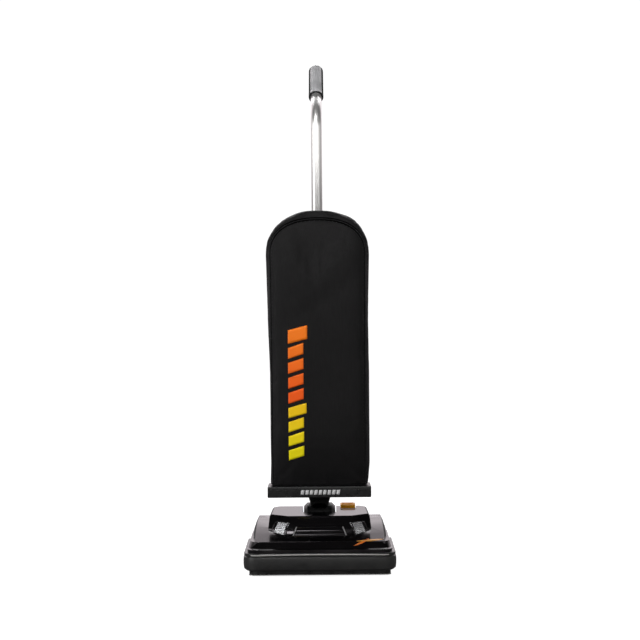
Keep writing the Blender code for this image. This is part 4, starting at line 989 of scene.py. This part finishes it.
for number, (finish, begin, end, thick) in enumerate((
        (STRIPE_ORANGE, (0.0740, 0.0655), (0.1080, 0.0775), 0.0017),
        (STRIPE_GOLD, (0.0800, 0.0740), (0.1400, 0.0765), 0.0010))):
    def stripe_corner(u, v, begin=begin, end=end, thick=thick):
        half = 0.0002 + thick * math.sin(math.pi * min(1, max(0, u)))
        return Vector((begin[0] + (end[0] - begin[0]) * u, -0.1,
                       begin[1] + (end[1] - begin[1]) * u + half * (2 * v - 1)))
    stripe = decal(f"hood_stripe_{number + 1}", HOOD_TREE, stripe_corner, 24, 3, 0.3,
                   REARWARD, 0.0004, 0.0007, finish)
    place(stripe, "base")


NOSE_TREE = tree_of(nose)
for sign, side in ((-1, "left"), (1, "right")):
    # Painted highlight: a grey strip down each bevelled side of the nose panel stands in for the
    # light those bevels catch.
    def painted_highlight_strip_corner(u, v, sign=sign):
        level = 0.0822 + 0.0170 * v
        edge = 0.0608 - 0.0074 * v
        return Vector((sign * (edge - 0.0008 - 0.0026 * u), -0.20, level))

    painted_highlight_strip = decal(f"nose_painted_highlight_strip_{side}", NOSE_TREE, painted_highlight_strip_corner, 4, 12, 0.1, REARWARD,
                   0.0002, 0.0004, NOSE_PAINTED_HIGHLIGHT)
    place(painted_highlight_strip, "base")

    lens = NODES[f"headlight_lens_{side}"]
    lens_low, lens_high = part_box(f"headlight_lens_{side}")
    face_along = Vector((sign * 0.0425, 0.0300, 0)).normalized()
    face_out = Vector((sign * 0.0300, -0.0425, 0)).normalized()
    tree = tree_of(lens)
    middle = (lens_low + lens_high) / 2
    ends = [(lens.matrix_world @ vertex.co).dot(face_along) for vertex in lens.data.vertices]
    near, far = min(ends) + 0.0003, max(ends) - 0.0003
    foot, head = lens_low.z + 0.0003, lens_high.z - 0.0003

    def frame_corner(u, v):
        along = near + (far - near) * u
        spot = face_along * along + face_out * middle.dot(face_out)
        return Vector((spot.x, spot.y, foot + (head - foot) * v))

    def frame_keep(u, v):
        return not 0.11 < u < 0.79

    surround = decal(f"lens_surround_{side}", tree, frame_corner, 39, 26, 0.1, -face_out,
                     0.00025, 0.0005, FINISHES["gloss_housing"], frame_keep)
    place(surround, "base")

BUMPER_TREE = tree_of(NODES["bumper"])


# Painted highlight: a light grey strip along the bumper's crowned top bead stands in for the
# highlight on it.
def painted_bead_highlight_corner(u, v):
    x = -0.150 + 0.300 * u
    crown = 0.0019 * (1 - (x / 0.150) ** 2)
    return Vector((x, -0.17, 0.0490 + crown + 0.0020 * (v - 0.5)))


painted_bead_highlight = decal("bumper_painted_bead_highlighting", BUMPER_TREE, painted_bead_highlight_corner, 60, 3, 0.3, REARWARD, 0.0004,
             0.0007, BEAD_PAINTED_HIGHLIGHT)
place(painted_bead_highlight, "base")


def well_cover():
    """A lip over the front of the pedal's well, level with the hood's top."""
    low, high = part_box("release_pedal")
    _, hood_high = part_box("hood")
    left, right = low.x - 0.0030, high.x + 0.0036
    top = hood_high.z + 0.0004
    profile = ((0.0300, top - 0.0002), (0.0306, top), (0.0470, top), (0.0477, top - 0.0003),
               (0.0480, top - 0.0008), (0.0474, top - 0.0012), (0.0345, top - 0.0012),
               (0.0300, top - 0.0006))
    rings = []
    for x, shrink in ((left, 0.5), (left + 0.0008, 1.0), (right - 0.0008, 1.0), (right, 0.5)):
        middle_y, middle_z = 0.039, top - 0.0006
        rings.append([Vector((x, middle_y + (y - middle_y) * (0.97 + 0.03 * shrink),
                              middle_z + (z - middle_z) * shrink)) for y, z in profile])
    return lofted("pedal_well_lip", rings, FINISHES["gloss_housing"], smooth=False)


place(well_cover(), "base")


# ---------------------------------------------------------------- pedal ribs

PEDAL_LOW, PEDAL_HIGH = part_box("release_pedal")
PEDAL_TREE = tree_of(NODES["release_pedal"])
for number in range(5):
    y = PEDAL_HIGH.y - 0.006 - 0.0060 * number

    def rib_corner(u, v, y=y):
        x = PEDAL_LOW.x + 0.004 + (PEDAL_HIGH.x - PEDAL_LOW.x - 0.008) * u
        return Vector((x, y - 0.0011 + 0.0022 * v, 0.12))

    rib = decal(f"pedal_rib_{number + 1}", PEDAL_TREE, rib_corner, 10, 2, 0.2,
                Vector((0, 0, -1)), 0.0007, 0.0010, FINISHES["orange_plastic"])
    place(rib, "pedal")


# ---------------------------------------------------------------- brush tufts

def tufts(name, node_name):
    """Two rows of nylon tufts in place of a solid strip, each tuft a few splayed bristles."""
    random.seed(node_name)
    low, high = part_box(node_name)
    axis = Vector((0, -0.130, 0.0255))
    mesh = NODES[node_name].data
    cells = {}
    for vertex in mesh.vertices:
        offset = vertex.co - axis
        key = round(vertex.co.x / 0.009)
        reach = math.hypot(offset.y, offset.z)
        if reach > cells.get(key, (0, None))[0]:
            cells[key] = (reach, math.atan2(offset.z, offset.y))
    keys = sorted(cells)
    angles = []
    for key in keys:
        angle = cells[key][1]
        if angles:
            while angle - angles[-1] > math.pi:
                angle -= 2 * math.pi
            while angle - angles[-1] < -math.pi:
                angle += 2 * math.pi
        angles.append(angle)
    points, faces = [], []
    root_radius, tip_radius, thickness = 0.0150, 0.0212, 0.00016
    x = low.x + 0.004
    while x < high.x - 0.002:
        place_at = x / 0.009
        index = max(0, min(len(keys) - 2, sum(1 for key in keys if key <= place_at) - 1))
        share = (place_at - keys[index]) / (keys[index + 1] - keys[index])
        angle = angles[index] + (angles[index + 1] - angles[index]) * min(1, max(0, share))
        for _ in range(12):
            splay = random.uniform(-0.07, 0.07)
            lean = random.uniform(-0.0012, 0.0012)
            tip = tip_radius - random.uniform(0, 0.0008)
            root = Vector((x + random.uniform(-0.0011, 0.0011),
                           math.cos(angle) * root_radius, math.sin(angle) * root_radius))
            end = Vector((root.x + lean, math.cos(angle + splay) * tip,
                          math.sin(angle + splay) * tip))
            way = (end - root).normalized()
            side = way.cross(AXIS_X).normalized() * thickness
            other = way.cross(side).normalized() * thickness
            rings = []
            for centre, size in ((root, 1.0), (end, 0.6)):
                rings.append([axis + centre + (math.cos(math.pi * k / 2) * side
                                               + math.sin(math.pi * k / 2) * other) * size
                              for k in range(4)])
            add_prism(points, faces, rings)
        x += 0.0034
    piece = mesh_object(name, points, faces, FINISHES["bristle_nylon"], smooth=False)
    place(piece, "brush")
    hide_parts(node_name)


tufts("brush_tufts_1", "bristle_strip_1")
tufts("brush_tufts_2", "bristle_strip_2")


# ---------------------------------------------------------------- stage, light, camera

def stage_floor():
    """A plain pale floor that is white to the camera, and softer in the object's gloss."""
    material, tree, shader = new_finish("stage_white", (0.30, 0.30, 0.30), 0.9)
    glow = tree.nodes.new("ShaderNodeEmission")
    glow.inputs["Color"].default_value = (1, 1, 1, 1)
    glow.inputs["Strength"].default_value = 0.95
    both = tree.nodes.new("ShaderNodeAddShader")
    tree.links.new(shader.outputs[0], both.inputs[0])
    tree.links.new(glow.outputs[0], both.inputs[1])
    dim = tree.nodes.new("ShaderNodeBsdfDiffuse")
    dim.inputs["Color"].default_value = (0.15, 0.15, 0.15, 1)
    path = tree.nodes.new("ShaderNodeLightPath")
    pick = tree.nodes.new("ShaderNodeMixShader")
    tree.links.new(path.outputs["Is Camera Ray"], pick.inputs[0])
    tree.links.new(dim.outputs[0], pick.inputs[1])
    tree.links.new(both.outputs[0], pick.inputs[2])
    tree.links.new(pick.outputs[0], tree.nodes["Material Output"].inputs["Surface"])
    points = [Vector((0, 0, 0))]
    faces = []
    for ring, radius in enumerate((0.5, 1.5, 4.0, 12.0, 40.0)):
        for k in range(48):
            turn = 2 * math.pi * k / 48
            points.append(Vector((radius * math.cos(turn), radius * math.sin(turn), 0)))
        base = 1 + ring * 48
        for k in range(48):
            j = (k + 1) % 48
            if ring == 0:
                faces.append((0, base + k, base + j))
            else:
                faces.append((base - 48 + k, base + k, base + j, base - 48 + j))
    floor = mesh_object("studio_floor", points, faces, material)


def studio_world():
    """White to the camera; round the object it is bright above and behind, darker in front."""
    world = bpy.data.worlds.new("studio")
    bpy.context.scene.world = world
    world.use_nodes = True
    tree = world.node_tree
    background = tree.nodes["Background"]
    source = tree.nodes.new("ShaderNodeTexCoord")
    parts = axes(tree, source.outputs["Generated"])
    behind = spread(tree, parts["Y"], 0.0, 1.0, 0.25, 0.72)
    low_back = math_node(tree, "MULTIPLY", spread(tree, parts["Z"], 0.50, 1.30, 0.13, 0.34),
                         spread(tree, parts["Z"], 1.0, 0.06, 0.52, 0.88))
    ahead = spread(tree, parts["Y"], 1.0, 0.45, -0.35, 0.25)
    low_front = spread(tree, parts["Z"], 0.92, 0.05, 0.19, 0.42)
    level = math_node(tree, "ADD", math_node(tree, "MULTIPLY", behind, low_back),
                      math_node(tree, "MULTIPLY", ahead, low_front))
    to_right = spread(tree, parts["X"], 0.0, 1.0, 0.30, 0.85)
    risen = spread(tree, parts["Z"], 0.0, 0.58, 0.17, 0.32)
    shade = math_node(tree, "SUBTRACT", 1.0, math_node(tree, "MULTIPLY", to_right, risen))
    level = math_node(tree, "MULTIPLY", level, shade)
    tint = blend_colours(tree, behind, (1.0, 0.985, 0.96), (1.0, 0.925, 0.96))
    path = tree.nodes.new("ShaderNodeLightPath")
    tree.links.new(tint, background.inputs["Color"])
    tree.links.new(level, background.inputs["Strength"])
    white = tree.nodes.new("ShaderNodeBackground")
    white.inputs["Color"].default_value = (1, 1, 1, 1)
    white.inputs["Strength"].default_value = 1.05
    pick = tree.nodes.new("ShaderNodeMixShader")
    tree.links.new(path.outputs["Is Camera Ray"], pick.inputs[0])
    tree.links.new(background.outputs[0], pick.inputs[1])
    tree.links.new(white.outputs[0], pick.inputs[2])
    tree.links.new(pick.outputs[0], tree.nodes["World Output"].inputs["Surface"])


def panel_light(name, place_at, aim, width, height, power, colour=(1, 1, 1)):
    data = bpy.data.lights.new(name, "AREA")
    data.shape = "RECTANGLE"
    data.size = width
    data.size_y = height
    data.energy = power
    data.color = colour
    lamp = bpy.data.objects.new(name, data)
    bpy.context.scene.collection.objects.link(lamp)
    lamp.location = place_at
    way = Vector(aim) - Vector(place_at)
    lamp.rotation_euler = way.to_track_quat("-Z", "Y").to_euler()
    return lamp


stage_floor()
studio_world()
panel_light("back_high", (0, 1.9, 2.7), (0, 0, 0.5), 2.2, 1.2, 34)
panel_light("key_left", (-2.3, -1.1, 0.85), (0, 0, 0.4), 1.3, 1.7, 20)
panel_light("front_high", (-0.20, -3.4, 1.62), (0, 0, 0.95), 3.8, 1.7, 24)
panel_light("bag_top", (-0.25, -1.25, 1.95), (0, 0, 0.95), 0.5, 0.5, 11)
panel_light("fill_right", (1.7, -2.2, 1.15), (0, 0, 0.8), 0.7, 1.5, 5)

camera_data = bpy.data.cameras.new("camera")
camera_data.lens = 73.72
camera_data.sensor_width = 36
camera_data.clip_end = 200
camera = bpy.data.objects.new("camera", camera_data)
bpy.context.scene.collection.objects.link(camera)
camera.location = (0.0047, -3.011, 0.5587)
turn = Matrix.Rotation(math.radians(90), 4, "X") @ Matrix.Rotation(math.radians(-0.5), 4, "Z")
camera.rotation_euler = turn.to_euler()
bpy.context.scene.camera = camera
bpy.context.scene.view_settings.view_transform = "Standard"
